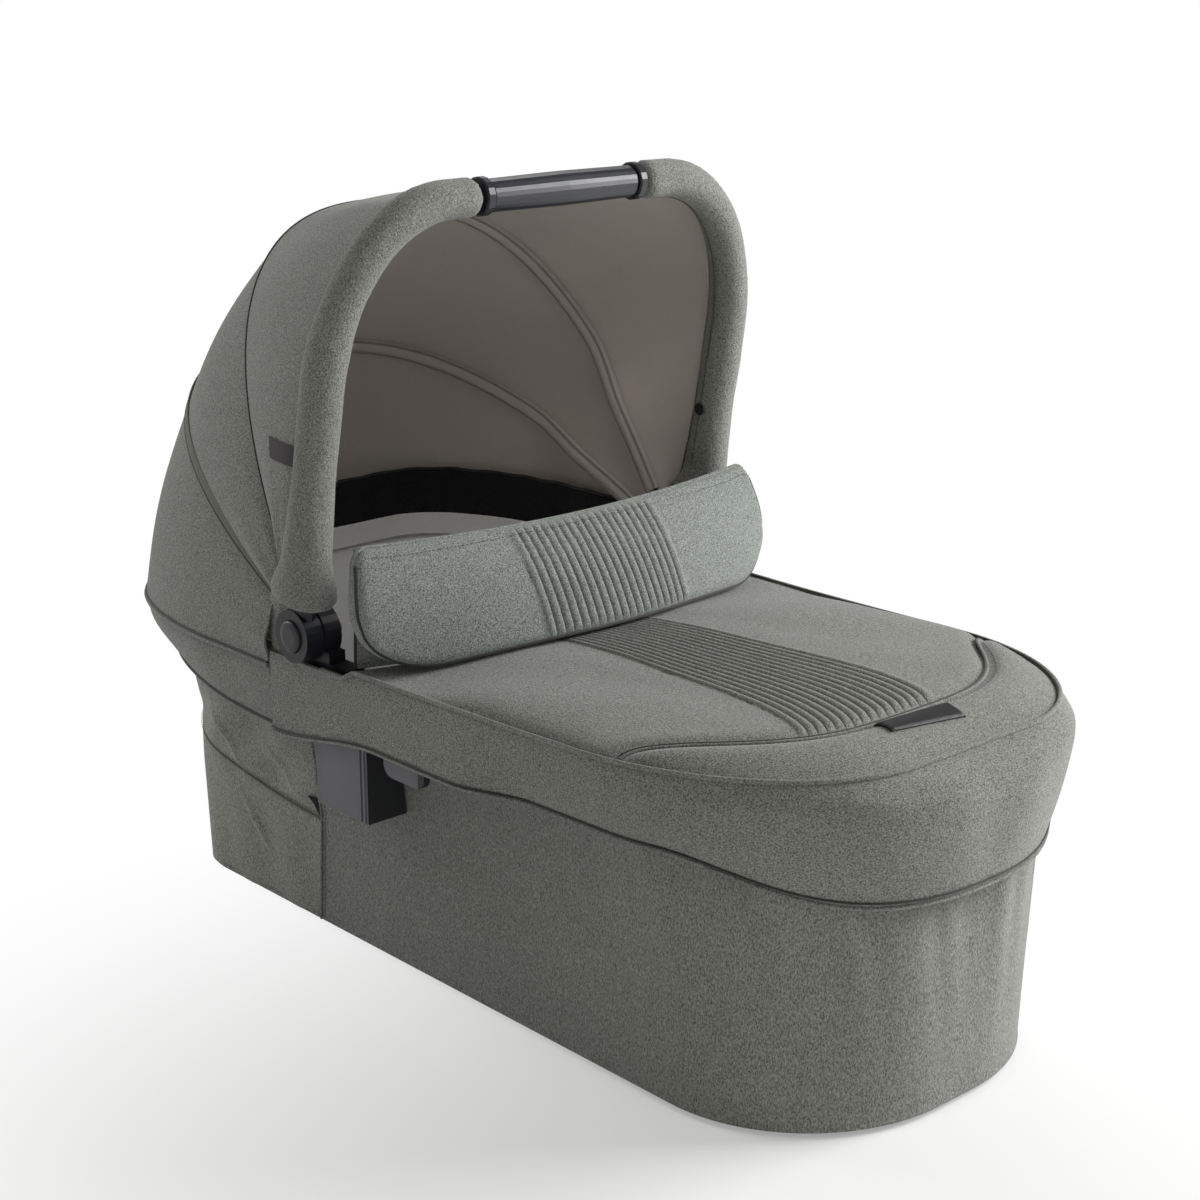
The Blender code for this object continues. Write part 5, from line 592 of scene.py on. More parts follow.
def stitches(name, points, up, look):
    """A row of threads along a line: one small spindle each, whose middle ring is wider than its ends."""
    points = np.asarray(points, float)
    place = lengths(points)
    count = max(int(place[-1] / STITCH_PITCH), 2)
    at = np.linspace(0, place[-1], count)
    up = np.broadcast_to(np.asarray(up, float), points.shape)
    up = np.stack([np.interp(at, place, up[:, k]) for k in range(3)], 1)
    spots = even(points, count)
    tangent, lift, across = frame_along(spots, up)
    ring = np.linspace(0, 2 * math.pi, 5, endpoint=False)
    local = [(s, math.cos(a), math.sin(a)) for s in (-0.25, 0.25) for a in ring]
    local = np.array([(-0.5, 0, 0)] + local + [(0.5, 0, 0)]) * (STITCH_LONG, STITCH_THICK, STITCH_THICK)
    body = (spots[:, None] + local[None, :, :1] * tangent[:, None] + local[None, :, 1:2] * across[:, None]
            + local[None, :, 2:] * lift[:, None]).reshape(-1, 3)
    one = [(0, 1 + (k + 1) % 5, 1 + k) for k in range(5)] + [(11, 6 + k, 6 + (k + 1) % 5) for k in range(5)]
    quads = [(1 + k, 1 + (k + 1) % 5, 6 + (k + 1) % 5, 6 + k) for k in range(5)]
    faces = [tuple(int(v) + 12 * n for v in f) for n in range(count) for f in one + quads]
    return make_mesh(name, body, faces, look)


def dress(piece, body, slot, *stands_for):
    """Hang a finished piece on its body and hide the solids that it stands for; its slot is not used."""
    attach(piece, body)
    if stands_for:
        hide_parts(*stands_for)
    return piece


def trim(name, line, radius, look, body="tub", slot="outer_fabric", **shape):
    """A cord or tape along a line, hung on a body."""
    return dress(rope(name, line, radius, look, **shape), body, slot)


def sew(name, line, up, body="tub", slot="outer_fabric"):
    """A row of stitches along a line, hung on a body."""
    return dress(stitches(name, line, up, thread_look), body, slot)


print("makers are ready")

# %% [markdown]
# ## The fabric tub
# The tub is a knit cover over a moulded floor: it is pulled up the outside, over the rim tube and down
# inside. The front cover and the rear cover meet at an upright seam behind the hinge. Seen from outside
# it has a few soft folds where the cloth is pulled to the rim, a diagonal seam on the rear wall, and a
# groove at every seam.
# %% Tub covers
COVER_THICK = 0.0016
COVER_ROWS = 90
RIM_WRAP = 0.0098
FRONT_COVER_Y = 0.1387
REAR_COVER_Y = 0.1393
SEAM_LEAN = 0.018
FRONT_INSIDE = (0, -0.1, 0.12)
REAR_INSIDE = (0, 0.2, 0.12)
REAR_RUN = {"side": 60, "corner": 60, "end": 16}
# Sharp pulls on the rear wall: middle y and z, steepness in radians, and reach.
PULLS = ((0.266, 0.135, 0.92, 0.030), (0.239, 0.066, 0.92, 0.022), (0.189, 0.130, 0.54, 0.024))


def cover_rows(run_of):
    """Rows from the floor edge up the wall and over the rim tube, as far as 80 degrees."""
    heights = WALL_FLOOR_Z + (WALL_TOP_Z - WALL_FLOOR_Z) * np.linspace(0, 1, COVER_ROWS) ** 0.95
    rows = [at_height(run_of(wall_plan(z)), z) for z in heights]
    for angle in np.radians(np.linspace(-60, 80, 12))[1:]:
        run = run_of(RIM.grown(RIM_WRAP * math.cos(angle)))
        rows.append(at_height(run, RIM_Z + RIM_WRAP * math.sin(angle)))
    return np.array(rows)


def groove(distance, width, depth):
    """A soft groove: -depth at the line, gone a few widths away."""
    return -depth * np.exp(-(distance / width) ** 2)


def passing(grid, value, level):
    """The point of each column of a grid where a value that rises along the column passes a level."""
    below = (value < level).sum(0) - 1
    column = np.arange(grid.shape[1])
    lower, upper = value[below, column], value[below + 1, column]
    share = ((level - lower) / (upper - lower))[:, None]
    return grid[below, column] * (1 - share) + grid[below + 1, column] * share


def leaned(wall):
    """The wall with its upright seam leaned to the head at the floor, eased out on each side."""
    y, z = wall[..., 1], wall[..., 2]
    near = smooth((y - 0.085) / 0.0537) * (1 - smooth((y - REAR_COVER_Y) / 0.055))
    low = np.clip((0.105 - z) / 0.100, 0, 1)
    return wall + np.stack([0 * low, SEAM_LEAN * low * near, 0 * low], -1)


def rear_seam_z(y):
    """Height of the diagonal seam: it rises to the head on a soft curve."""
    return 0.1015 + 0.0205 * (np.maximum(y - 0.139, 0) / 0.168) ** 1.7


front_wall = leaned(cover_rows(lambda plan: plan.foot_run(FRONT_COVER_Y, side=90, corner=60, end=20)))
away = outward(front_wall, FRONT_INSIDE)
y = front_wall[..., 1]
level = np.clip((front_wall[..., 2] - 0.01) / 0.23, 0, 1)
run = lengths(front_wall[20])[None, :]
foot_share = smooth((-y - 0.20) / 0.15)
pull = 0.0011 * np.sin(run * 150 + 3 * level) + 0.0011 * np.sin(run * 67 + 1.0 - 2 * level)
pull = pull + 0.0006 * np.sin(run * 240 + 5 * level)
hang = level ** 1.3 * smooth((0.99 - level) / 0.10)
broad = 0.0022 * np.sin(run * 38 + 0.6) * smooth((level - 0.25) / 0.6)
fold = (pull + broad) * hang * (0.25 + 1.1 * foot_share)
fold = fold + 0.0012 * np.sin(y * 26 + level * 5) * level * (1 - level) * 2
front_face = front_wall + away * fold[..., None]
front_cover = sheet("cover_front", front_face, COVER_THICK, FRONT_INSIDE, wall_knit)
dress(front_cover, "tub", "outer_fabric", "tub_cover_front")

rear_wall = leaned(cover_rows(lambda plan: plan.head_run(REAR_COVER_Y, **REAR_RUN)))
away = outward(rear_wall, REAR_INSIDE)
x, y, z = rear_wall[..., 0], rear_wall[..., 1], rear_wall[..., 2]
across_seam = z - rear_seam_z(y)
level = np.clip((z - 0.01) / 0.23, 0, 1)
above = smooth(across_seam / 0.02) * smooth((0.97 - level) / 0.15)
crease = 0.0020 * np.sin((z * 1.4 + y) * 80) * above
for pull_y, pull_z, steep, reach in PULLS:
    beside = (y - pull_y) * math.sin(steep) - (z - pull_z) * math.cos(steep)
    beyond = (y - pull_y) * math.cos(steep) + (z - pull_z) * math.sin(steep)
    crease = crease + 0.0026 * np.exp(-(beside / 0.0042) ** 2 - (beyond / reach) ** 2)
crease = crease + 0.0017 * np.sin((z * 0.5 - y) * 60 + 1) * above
crease = crease + 0.0009 * np.sin(y * 90 + x * 60) * smooth(-across_seam / 0.03)
shift = crease + groove(across_seam, 0.0026, 0.0018)
rear_face = rear_wall + away * shift[..., None]
# The rear cover wears the lighter copy of the knit: painted light.
rear_cover = sheet("cover_rear", rear_face, COVER_THICK, REAR_INSIDE, rear_lit_knit)
dress(rear_cover, "tub", "outer_fabric", "tub_cover_rear")
print("tub covers:", len(front_cover.data.polygons), len(rear_cover.data.polygons))

# %% [markdown]
# ## Seams of the tub
# The upright seam is a turned edge with a thin cord in it and a row of stitches beside it. The floor edge
# is bound with a tape where the cover tucks under the tray, and beside each adapter a small sheet of dark
# cloth is laid where the seam opens: painted shade for the slit.
# %% Tub seams
SIDES = {"left": -1, "right": 1}
STITCH_OFF = 0.0045
SLIT_Z = (0.101, 0.120)
SLIT_COLUMNS = 6

for side, sign in SIDES.items():
    wall = front_wall[:COVER_ROWS, 0] * (-sign, 1, 1)
    out_way = np.array([sign, 0, 0])
    trim("cover_seam_" + side, wall + (sign * 0.0006, 0.0003, 0), 0.0011, knit, up=out_way, sides=10)
    sew("cover_seam_thread_" + side, wall + (sign * 0.0002, -STITCH_OFF, 0), out_way)
rear_run = wall_plan(0.11).head_run(REAR_COVER_Y, **REAR_RUN)
line = at_height(rear_run, rear_seam_z(rear_run[:, 1]))
away_run = outward(np.stack([line, line + (0, 0, 0.01)]), REAR_INSIDE)[0]
trim("rear_seam_cord", line - away_run * 0.0004, 0.0009, tape_cloth, sides=8)
sew("rear_seam_thread", passing(rear_face + away * 0.0009, across_seam, STITCH_OFF), away_run)
edge = at_height(wall_plan(0.0065).grown(-0.0002).loop(), 0.0065)
trim("floor_binding", edge, (0.0008, 0.0020), wall_knit, closed=True, sides=8)
low, high = np.searchsorted(rear_wall[:85, 0, 2], SLIT_Z)
widening = (np.linspace(0, 1, high - low)[:, None] * np.linspace(0, 1, SLIT_COLUMNS))[..., None]
# Painted shade: a thin dark sheet on the rear cover stands for the shaded opening of the slit.
for side, edge, inner in (("left", 0, SLIT_COLUMNS - 1), ("right", -1, -SLIT_COLUMNS)):
    begin, end = rear_face[low:high, edge, None], rear_face[low:high, inner, None]
    grid = begin + (end - begin) * widening + away[low:high, edge, None] * 0.0014
    dress(sheet("adapter_slit_shade_" + side, grid, 0.0006, REAR_INSIDE, vent_mesh), "tub", "outer_fabric")
print("tub seams done")

# %% [markdown]
# ## Liner, mattress and vent
# Inside hangs a jersey liner, with a foam mattress on the floor and a dark mesh window round the head end
# under the hood. The mattress is foam in a cover, so it is swelled by a short cloth simulation from a
# smaller block.
# %% Liner
LINER_FLOOR_Z = 0.0133
LINER_DEEP = 0.2442
LINER_INSET = 0.0190
LINER_INSIDE = (0, 0, 0.15)


def liner_row(z, inset):
    """The liner's outline at a height, a little inside the wall."""
    return at_height(wall_plan(min(z, WALL_TOP_Z)).grown(-inset).loop(), z)


rows = [liner_row(LINER_FLOOR_Z, LINER_INSET) * (share, share, 1) for share in (0.02, 0.35, 0.7, 0.93)]
rows += [liner_row(LINER_FLOOR_Z + LINER_DEEP * t, LINER_INSET - 0.0046 * t) for t in np.linspace(0, 1, 30)]
liner_grid = np.array(rows)
waves = 0.0010 * np.sin(lengths(liner_grid[-1]) * 60)[None, :] * np.linspace(0, 1, len(rows))[:, None] ** 2
liner_grid = liner_grid + outward(liner_grid, LINER_INSIDE, wrap=True) * (waves - 0.0008)[..., None]
liner = sheet("liner", liner_grid, 0.0012, LINER_INSIDE, liner_knit, wrap=True)
dress(liner, "tub", "liner_fabric", "inner_liner")
edge = at_height(wall_plan(WALL_TOP_Z).grown(-0.0150).loop(), 0.2580)
trim("liner_edge", edge, (0.0012, 0.0016), liner_knit, slot="liner_fabric", closed=True, sides=8)
print("liner:", len(liner.data.polygons))


# %% [markdown]
# A cover filled with foam is fuller than the pattern it was cut from. So a piece is made to its cut size,
# given even faces, and blown up a little as cloth; each point's move is capped, so that it stays in its
# place.
# %% Swelling a padded piece
def evaluated(piece):
    """A piece's mesh with its modifiers applied."""
    graph = bpy.context.evaluated_depsgraph_get()
    return bpy.data.meshes.new_from_object(piece.evaluated_get(graph))


def swell(piece, voxel, pressure=4.0, cap=0.008, frames=20):
    """Inflate a closed piece: voxel remesh, cloth with pressure and no gravity, then each move capped."""
    even_out = piece.modifiers.new("even", "REMESH")
    even_out.mode = "VOXEL"
    even_out.voxel_size = voxel
    even_out.use_smooth_shade = True
    mesh = evaluated(piece)
    piece.modifiers.clear()
    piece.data = mesh
    start = np.zeros(len(mesh.vertices) * 3)
    mesh.vertices.foreach_get("co", start)
    cloth = piece.modifiers.new("cloth", "CLOTH")
    cloth.settings.use_pressure = True
    cloth.settings.uniform_pressure_force = pressure
    cloth.settings.quality = 5
    cloth.settings.effector_weights.gravity = 0
    cloth.point_cache.frame_start = 1
    cloth.point_cache.frame_end = frames
    for step in range(1, frames + 1):
        bpy.context.scene.frame_set(step)
    end = np.zeros(len(start))
    evaluated(piece).vertices.foreach_get("co", end)
    piece.modifiers.clear()
    move = (end - start).reshape(-1, 3)
    size = np.linalg.norm(move, axis=1, keepdims=True)
    move = move * np.minimum(1, cap / np.maximum(size, 1e-9))
    mesh.vertices.foreach_set("co", (start.reshape(-1, 3) + move).ravel())
    mesh.shade_smooth()
    bpy.context.scene.frame_set(1)


# %% [markdown]
# The mattress is a flat pad of foam with soft corners, a little smaller than the liner's floor. A
# superellipse in plan and a rounder one in section give it.
# %% Mattress
MATTRESS_HALF = 0.127
MATTRESS_Y = (-0.362, 0.340)
MATTRESS_Z = (0.0175, 0.0475)


def block(half_x, ys, zs, power=7.0, round_power=4.0, count=120, rings=26):
    """A rounded block: a superellipse plan, shrunk towards the top and bottom by a rounder superellipse."""
    turn = np.linspace(0, 2 * math.pi, count, endpoint=False)
    x = half_x * squared(np.cos(turn), 2 / power)
    y = (ys[1] - ys[0]) / 2 * squared(np.sin(turn), 2 / power)
    tilt = np.linspace(-math.pi / 2, math.pi / 2, rings)
    wide = np.abs(np.cos(tilt)) ** (2 / round_power)
    wide[0], wide[-1] = 0.01, 0.01
    z = sum(zs) / 2 + (zs[1] - zs[0]) / 2 * squared(np.sin(tilt), 2 / round_power)
    return np.stack([wide[:, None] * x, sum(ys) / 2 + wide[:, None] * y, np.repeat(z[:, None], count, 1)], -1)


mattress = tube("mattress_pad", block(MATTRESS_HALF, MATTRESS_Y, MATTRESS_Z), mattress_knit)
swell(mattress, 0.006, cap=0.005)
dress(mattress, "tub", "mattress_cloth", "mattress")
print("mattress:", len(mattress.data.polygons))

# %% [markdown]
# The window's mesh stands on the rim round the head, with a bound top edge and a facing of liner jersey
# below it.
# %% Vent mesh
VENT_INSIDE = (0, 0.2, 0.27)
VENT_Z = (0.2455, 0.3070)
VENT_ROWS = 14
FACING_Z = 0.2622
FACING_STEP = 0.0043

vent_run = RIM.grown(-0.0113).head_run(0.154)
vent_grid = np.array([at_height(vent_run, z) for z in np.linspace(*VENT_Z, VENT_ROWS)])
sway = (0.0007 * np.sin(lengths(vent_run) * 95) * np.linspace(0, 1, VENT_ROWS)[:, None] ** 2)
vent_grid = vent_grid - outward(vent_grid, VENT_INSIDE) * (sway + 0.0012)[..., None]
vent = sheet("vent_window", vent_grid, 0.0012, VENT_INSIDE, vent_mesh)
dress(vent, "tub", "mesh_fabric", "vent_mesh_band")
scallop = 0.0004 * np.sin(lengths(vent_run) * 160)
scallop = vent_grid[-1] + np.stack([0 * scallop, 0 * scallop, scallop], 1)
trim("vent_edge", scallop, (0.0016, 0.0013), piping_cloth, slot="mesh_fabric", sides=8)
line = at_height(RIM.grown(-0.0135).head_run(0.150), 0.2625)
trim("vent_tape", line, (0.0010, 0.0022), liner_knit, slot="liner_fabric", sides=8)
facing_rows = [
    at_height(RIM.grown(-0.0140 - 0.0007 * n).head_run(0.150), FACING_Z - FACING_STEP * n) for n in range(5)
]
trim("liner_line", facing_rows[0] - (0, 0, 0.0022), 0.0008, piping_cloth, slot="liner_fabric", sides=8)
facing = sheet("liner_facing", spline_rows(facing_rows, 14), 0.0009, VENT_INSIDE, liner_knit)
dress(facing, "tub", "liner_fabric")
print("vent:", len(vent.data.polygons))

# %% [markdown]
# ## The band round the head end
# Below the hood a padded band hangs over the rim. It stands out most just under the rim and turns in
# again to its hem. Five outlines give it, with a curve through them, and a piped edge follows its crown
# and its hem.
# %% Rear band
BAND = Plan(0.210, 0.210, 0.396, 0.417, 0.14997, 0.185, 0.095, 0.195)
BAND_HEM = Plan(0.2005, 0.2005, 0.396, 0.3875, 0.14997, 0.185, 0.095, 0.195)
BAND_Y = 0.138
BAND_WRAP = 0.0132
BAND_CROWN = math.radians(62)
BAND_INSIDE = (0, 0.2, 0.22)
BAND_ROWS = 30

hem_run = BAND_HEM.head_run(BAND_Y)
hem_z = 0.1915 + 0.0143 * smooth((hem_run[:, 1] - BAND_Y) / 0.25)
crown_run = RIM.grown(BAND_WRAP * math.cos(BAND_CROWN)).head_run(BAND_Y)
rows = [
    at_height(crown_run, RIM_Z + BAND_WRAP * math.sin(BAND_CROWN)),
    at_height(RIM.grown(BAND_WRAP).mixed(BAND, 0.6).head_run(BAND_Y), 0.2515),
    at_height(BAND.head_run(BAND_Y), 0.2445),
    at_height(BAND.mixed(BAND_HEM, 0.16).head_run(BAND_Y), 0.2269),
    at_height(hem_run, hem_z),
]
band_grid = spline_rows(rows, BAND_ROWS)
away = outward(band_grid, BAND_INSIDE)
down = np.sin(np.linspace(0, math.pi, BAND_ROWS))[:, None]
ripple = 0.0006 * np.sin(lengths(band_grid[15]) * 70)[None, :] * down
band_grid = band_grid + away * ripple[..., None]
band = sheet("head_band", band_grid, 0.0025, BAND_INSIDE, knit)
dress(band, "tub", "outer_fabric", "rear_band")
rim_cord = at_height(BAND.grown(0.0012).head_run(BAND_Y), 0.2440)
trim("band_piping", rim_cord, 0.0019, knit, sides=10)
trim("band_shadow_cord", rim_cord + (0, 0, 0.0024), 0.0012, piping_cloth, sides=8)
trim("band_hem", band_grid[-1] + away[-1] * 0.0002, (0.0014, 0.0018), piping_cloth, up=away[-1], sides=8)
print("head band:", len(band.data.polygons))

# %% [markdown]
# ## The handle
# The carrying handle is a bent tube that leans a little to the foot. Each side has a padded knit sleeve,
# wide over the hinge leg and slim at the top, sewn shut along its inner side. The outline of the arch is
# straight legs with elliptical shoulders.
# %% Handle sleeves
LEAN = math.radians(10.6)
ARCH_NORMAL = np.array([0, math.cos(LEAN), math.sin(LEAN)])
ARCH_UP = np.array([0, -math.sin(LEAN), math.cos(LEAN)])
LEG_HALF = 0.209
LEG_TOP = 0.19505
LEG_SPLAY = 0.0025
SHOULDER_START = 0.110
SHOULDER_WIDE = 0.099
SHOULDER_HIGH = 0.13695
ARCH_TOP = 0.332
SLEEVE_FROM, SLEEVE_TO = 0.0245, 0.0822
# Half depth and half width of a sleeve: at the leg, above the leg and at the top.
SLEEVE_LEG = (0.0195, 0.0270)
SLEEVE_MIDDLE = 0.0170
SLEEVE_SLIM = 0.0158


def arch_points(start, end_x, count):
    """Half the arch as (x, up) points: leg, elliptical shoulder, then the flat top as far as end_x."""
    leg_up = np.linspace(start, LEG_TOP, 60)[:-1]
    leg_x = LEG_HALF + LEG_SPLAY * (LEG_TOP - leg_up) / LEG_TOP
    turn = np.linspace(0, math.pi / 2, 60)
    x = np.concatenate([leg_x, SHOULDER_START + SHOULDER_WIDE * np.cos(turn), [end_x]])
    up = np.concatenate([leg_up, LEG_TOP + SHOULDER_HIGH * np.sin(turn), [ARCH_TOP]])
    return even(np.stack([x, up, 0 * x], 1), count)[:, :2]


def arch_place(flat):
    """(x, up) points on the handle's leaning plane."""
    return HINGE + flat[:, :1] * np.array([1, 0, 0]) + flat[:, 1:] * ARCH_UP


def sleeve_radii(up):
    """Half depth and half width of the sleeve along its leg."""
    share = smooth((up - 0.024) / 0.112) ** 0.5
    slim = smooth((up - 0.20) / 0.10)
    sizes = [at_leg + (SLEEVE_MIDDLE - at_leg) * share for at_leg in SLEEVE_LEG]
    return [size + (SLEEVE_SLIM - size) * slim for size in sizes]


for side, sign in SIDES.items():
    flat = arch_points(SLEEVE_FROM, SLEEVE_TO, 150)
    line = arch_place(flat * (sign, 1))
    depth, width = sleeve_radii(flat[:, 1])
    run = lengths(line)
    flare = 1 + 0.21 * smooth((0.040 - run) / 0.028)
    ends = flare * np.sqrt(np.clip(1 - (1 - np.clip(run / 0.011, 0, 1)) ** 2, 0.02, 1))
    top = np.sqrt(np.clip(1 - (1 - np.clip((run[-1] - run) / 0.006, 0, 1)) ** 2, 0.30, 1))
    drift = 1 + 0.015 * np.sin(run * 48 + sign) + 0.010 * np.sin(run * 101)
    radius = np.stack([depth, width], 1) * (ends * top * drift)[:, None] - 0.0004
    sleeve = rope("sleeve_" + side, line, radius, sleeve_knit, up=ARCH_NORMAL, sides=40)
    swell(sleeve, 0.0045, pressure=3.0, cap=0.0012)
    dress(sleeve, "handle", "outer_fabric", "handle_sleeve_" + side)
    _, _, across = frame_along(line, ARCH_NORMAL)
    inward = across * np.sign((across[:, :1] * -sign).mean())
    seam = (line + inward * (depth * 0.985)[:, None])[8:-5]
    trim("sleeve_seam_" + side, seam, (0.0009, 0.0007), thread_look, "handle", up=inward[8:-5], sides=8)
    print("sleeve", side, len(sleeve.data.polygons))

# %% [markdown]
# ## The hood
# Two sprung bows and the handle spread the hood like a fan round the hinge. Each bow is a superellipse,
# and each panel of cloth is stretched from one line to the next with a little fullness. Inside there is a
# second skin, a brown-grey lining, with a sewn channel round each bow.
# %% Hood lines
BOW_HALF = 0.1995
BOW_REACH = 0.339
BOW_DEGREES = {"front": 60, "rear": 27}
BOW_POWER = 2 / 2.6
CLOTH = 0.0047
COLUMNS = 161
HOOD_START = 0.046
WAIST = 0.0125


def bow_line(part, stand, start, count):
    """A superelliptic bow about the hinge, a stand outside it: x = half.cos^p, distance = reach.sin^p."""
    angle = math.radians(BOW_DEGREES[part])
    reach = BOW_REACH + stand
    first = math.asin((start / reach) ** (1 / BOW_POWER))
    t = np.linspace(first, math.pi - first, count)
    x = -(BOW_HALF + stand) * squared(np.cos(t), BOW_POWER)
    distance = reach * np.sin(t) ** BOW_POWER
    return np.stack([x, HINGE[1] + distance * math.cos(angle), HINGE[2] + distance * math.sin(angle)], 1)


def bow_turn(angle):
    """The direction in which a line from the hinge at an angle turns."""
    return np.array([0, -math.sin(angle), math.cos(angle)])


def waisted(line):
    """A bow's line, narrower near the hinge, as the bows are bent; it widens again by 0.200 away."""
    away = np.linalg.norm((line - HINGE)[:, 1:], axis=1)
    inset = WAIST * (1 - smooth((away - 0.120) / 0.080))
    shift = np.sign(line[:, 0]) * inset * (np.abs(line[:, 0]) > 0.05)
    return line - np.stack([shift, 0 * away, 0 * away], 1)


def fan(first, last, count, puff, inset=0.0):
    """A panel between two lines: straight across, moved out by a half sine of fullness and in by an inset."""
    share = np.linspace(0, 1, count)[:, None, None]
    grid = first[None] * (1 - share) + last[None] * share
    along = unit(np.gradient(grid, axis=1), 2)
    out_way = grid - HINGE
    out_way = unit(out_way - along * (out_way * along).sum(2, keepdims=True), 2)
    return grid + out_way * (puff * np.sin(math.pi * share) - inset), out_way


front_line = bow_line("front", CLOTH, HOOD_START, COLUMNS)
rear_line = bow_line("rear", CLOTH, HOOD_START, COLUMNS)
half_flat = arch_points(HOOD_START, 0.0, 200)
whole = np.concatenate([half_flat * (-1, 1), half_flat[::-1][1:]])
whole = even(np.stack([whole[:, 0], whole[:, 1], 0 * whole[:, 0]], 1), COLUMNS)[:, :2]
back_of_sleeve = sleeve_radii(np.minimum(whole[:, 1], 0.136))[1] + 0.0024
handle_line = arch_place(whole) + ARCH_NORMAL * back_of_sleeve[:, None]
rim_line = even(at_height(RIM.grown(0.0083).head_run(BAND_Y), 0.2627), COLUMNS)
hem_line = even(at_height(BAND.grown(0.0010).head_run(BAND_Y), 0.2468), COLUMNS)
hood_lines = (handle_line, front_line, rear_line, rim_line)
print("hood lines:", [round(float(lengths(line)[-1]), 3) for line in hood_lines])

# %% [markdown]
# Three panels make the hood: from the handle to the front bow, from bow to bow, and from the rear bow to
# the band. Each is ruled between its two lines and puffed outwards by a half sine, with soft waves low
# down at the sides.
# %% Hood panels
# Each panel: the line it starts at and its lining's, the line it ends at and its lining's, the bodies at
# its two ends, and the angle of its middle.
PANELS = {
    "rear": (rear_line, waisted(rear_line), hem_line, rim_line, "rear_bow", "tub", 12.0),
    "middle": (front_line, waisted(front_line), rear_line, waisted(rear_line), "front_bow", "rear_bow", 43.5),
    "front": (handle_line, handle_line, front_line, waisted(front_line), "handle", "front_bow", 80.3),
}
PANEL_ROWS = 40
SLEEVE_GAP = 0.0021
FULLNESS = 0.0055
BEND_RADIUS = 0.2
BEND_HALF = 0.055

panel_grids = {}
share = np.linspace(0, 1, PANEL_ROWS)[:, None]
for part, (first, inner_first, last, inner_last, upper, lower, degrees) in PANELS.items():
    angle = math.radians(degrees)
    turn = bow_turn(angle)
    middle = HINGE + np.array([0, math.cos(angle), math.sin(angle)]) * BEND_RADIUS
    outer_first = first - ARCH_NORMAL * SLEEVE_GAP if part == "front" else first
    grid, out_way = fan(outer_first, last, PANEL_ROWS, FULLNESS)
    from_hinge = np.linalg.norm((grid - HINGE)[..., 1:], axis=2)
    low = 1 - smooth((from_hinge - 0.05) / 0.13)
    soft = 0.0016 * np.sin(share * 9.0 + 1.3) * low * np.sin(math.pi * share)
    soft = soft + 0.0007 * np.sin(lengths(first)[None] * 21 + share * 4) * np.sin(math.pi * share)
    grid = grid + out_way * soft[..., None]
    panel = sheet("hood_" + part, grid, 0.0018, HINGE, knit, normal=out_way)
    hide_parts("hood_panel_" + part)
    inner, inner_way = fan(inner_first, inner_last, 28, 0.0030, inset=0.0040)
    skin = sheet("hood_lining_" + part, inner, 0.0009, HINGE, lining, normal=inner_way)
    width = float(np.linalg.norm(last - first, axis=1).mean())
    run = float(lengths((first + last) / 2)[-1])
    start, end = tuple(middle - turn * BEND_HALF), tuple(middle + turn * BEND_HALF)
    for cloth in (panel, skin):
        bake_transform(cloth)
    panel_grids[part] = (grid, out_way)
    print("hood", part, "width", round(width, 3), "run", round(run, 3))

# %% [markdown]
# ## Bow channels, piping and the zip tape
# Inside, a channel of lining holds each bow: it shows as a soft double ridge, with a darker cord along
# each side as painted shade in the creases. Outside, a dark cord is sewn into the seam over the front bow,
# and a wide olive tape covers the zip over the rear bow, with a dark cord behind it.
# %% Hood trim
TRIM_START = 0.050
TRIM_POINTS = 180
CHANNEL = (0.0066, 0.0054)
CHANNEL_SINK = 0.0022

for part, degrees in BOW_DEGREES.items():
    line = waisted(bow_line(part, 0, TRIM_START, TRIM_POINTS))
    turn = bow_turn(math.radians(degrees))
    inside_way = HINGE - line
    inside_way = inside_way - turn * (inside_way * turn).sum(1, keepdims=True)
    _, lift, across = frame_along(line, inside_way)
    line = line + lift * CHANNEL_SINK
    hang_on = {"body": part + "_bow", "slot": "liner_fabric", "up": inside_way}
    trim("bow_channel_" + part, line, CHANNEL, lining, sides=16, **hang_on)
    # Two darker cords beside each channel: painted shade in the creases.
    for n, sign in enumerate((-1, 1)):
        row = line + across * sign * 0.0056 + lift * 0.0036
        trim(f"bow_channel_{part}_edge_{n}", row, 0.0011, channel_crease_shade, sides=8, **hang_on)

line = bow_line("front", CLOTH, TRIM_START, TRIM_POINTS)
trim("hood_cord_front", line, 0.0011, piping_cloth, "front_bow", sides=8, up=ARCH_NORMAL)
turn = bow_turn(math.radians(BOW_DEGREES["rear"]))
line = bow_line("rear", CLOTH, TRIM_START, TRIM_POINTS)
out_way = line - HINGE
out_way = out_way - turn * (out_way * turn).sum(1, keepdims=True)
_, lift, _ = frame_along(line, out_way)
tape_line = line + turn * 0.0052 + lift * 0.0004
trim("hood_zip_tape", tape_line, (0.0055, 0.0010), tape_cloth, "rear_bow", up=out_way, sides=14, flat=4.0)
cord_line = line - turn * 0.0012 + lift * 0.0002
trim("hood_zip_cord", cord_line, 0.0014, piping_cloth, "rear_bow", up=out_way, sides=8)
grid, out_way = [rows[3:21, 15:19] for rows in panel_grids["front"]]
tab = sheet("hood_tab", grid + out_way * 0.0011, 0.0009, HINGE, plum_tape, normal=out_way)
dress(tab, "handle", "outer_fabric")
print("hood trim done")

# %% [markdown]
# ## Cloth lugs at the hinges
# Behind each hinge a tongue of the cover rises and closes the hood's lower corner. It is a small curved
# patch with a piped rim.
# %% Hinge lugs
LUG_INNER, LUG_OUTER = 0.0265, 0.050
LUG_X = 0.2065
LUG_ROWS = 12

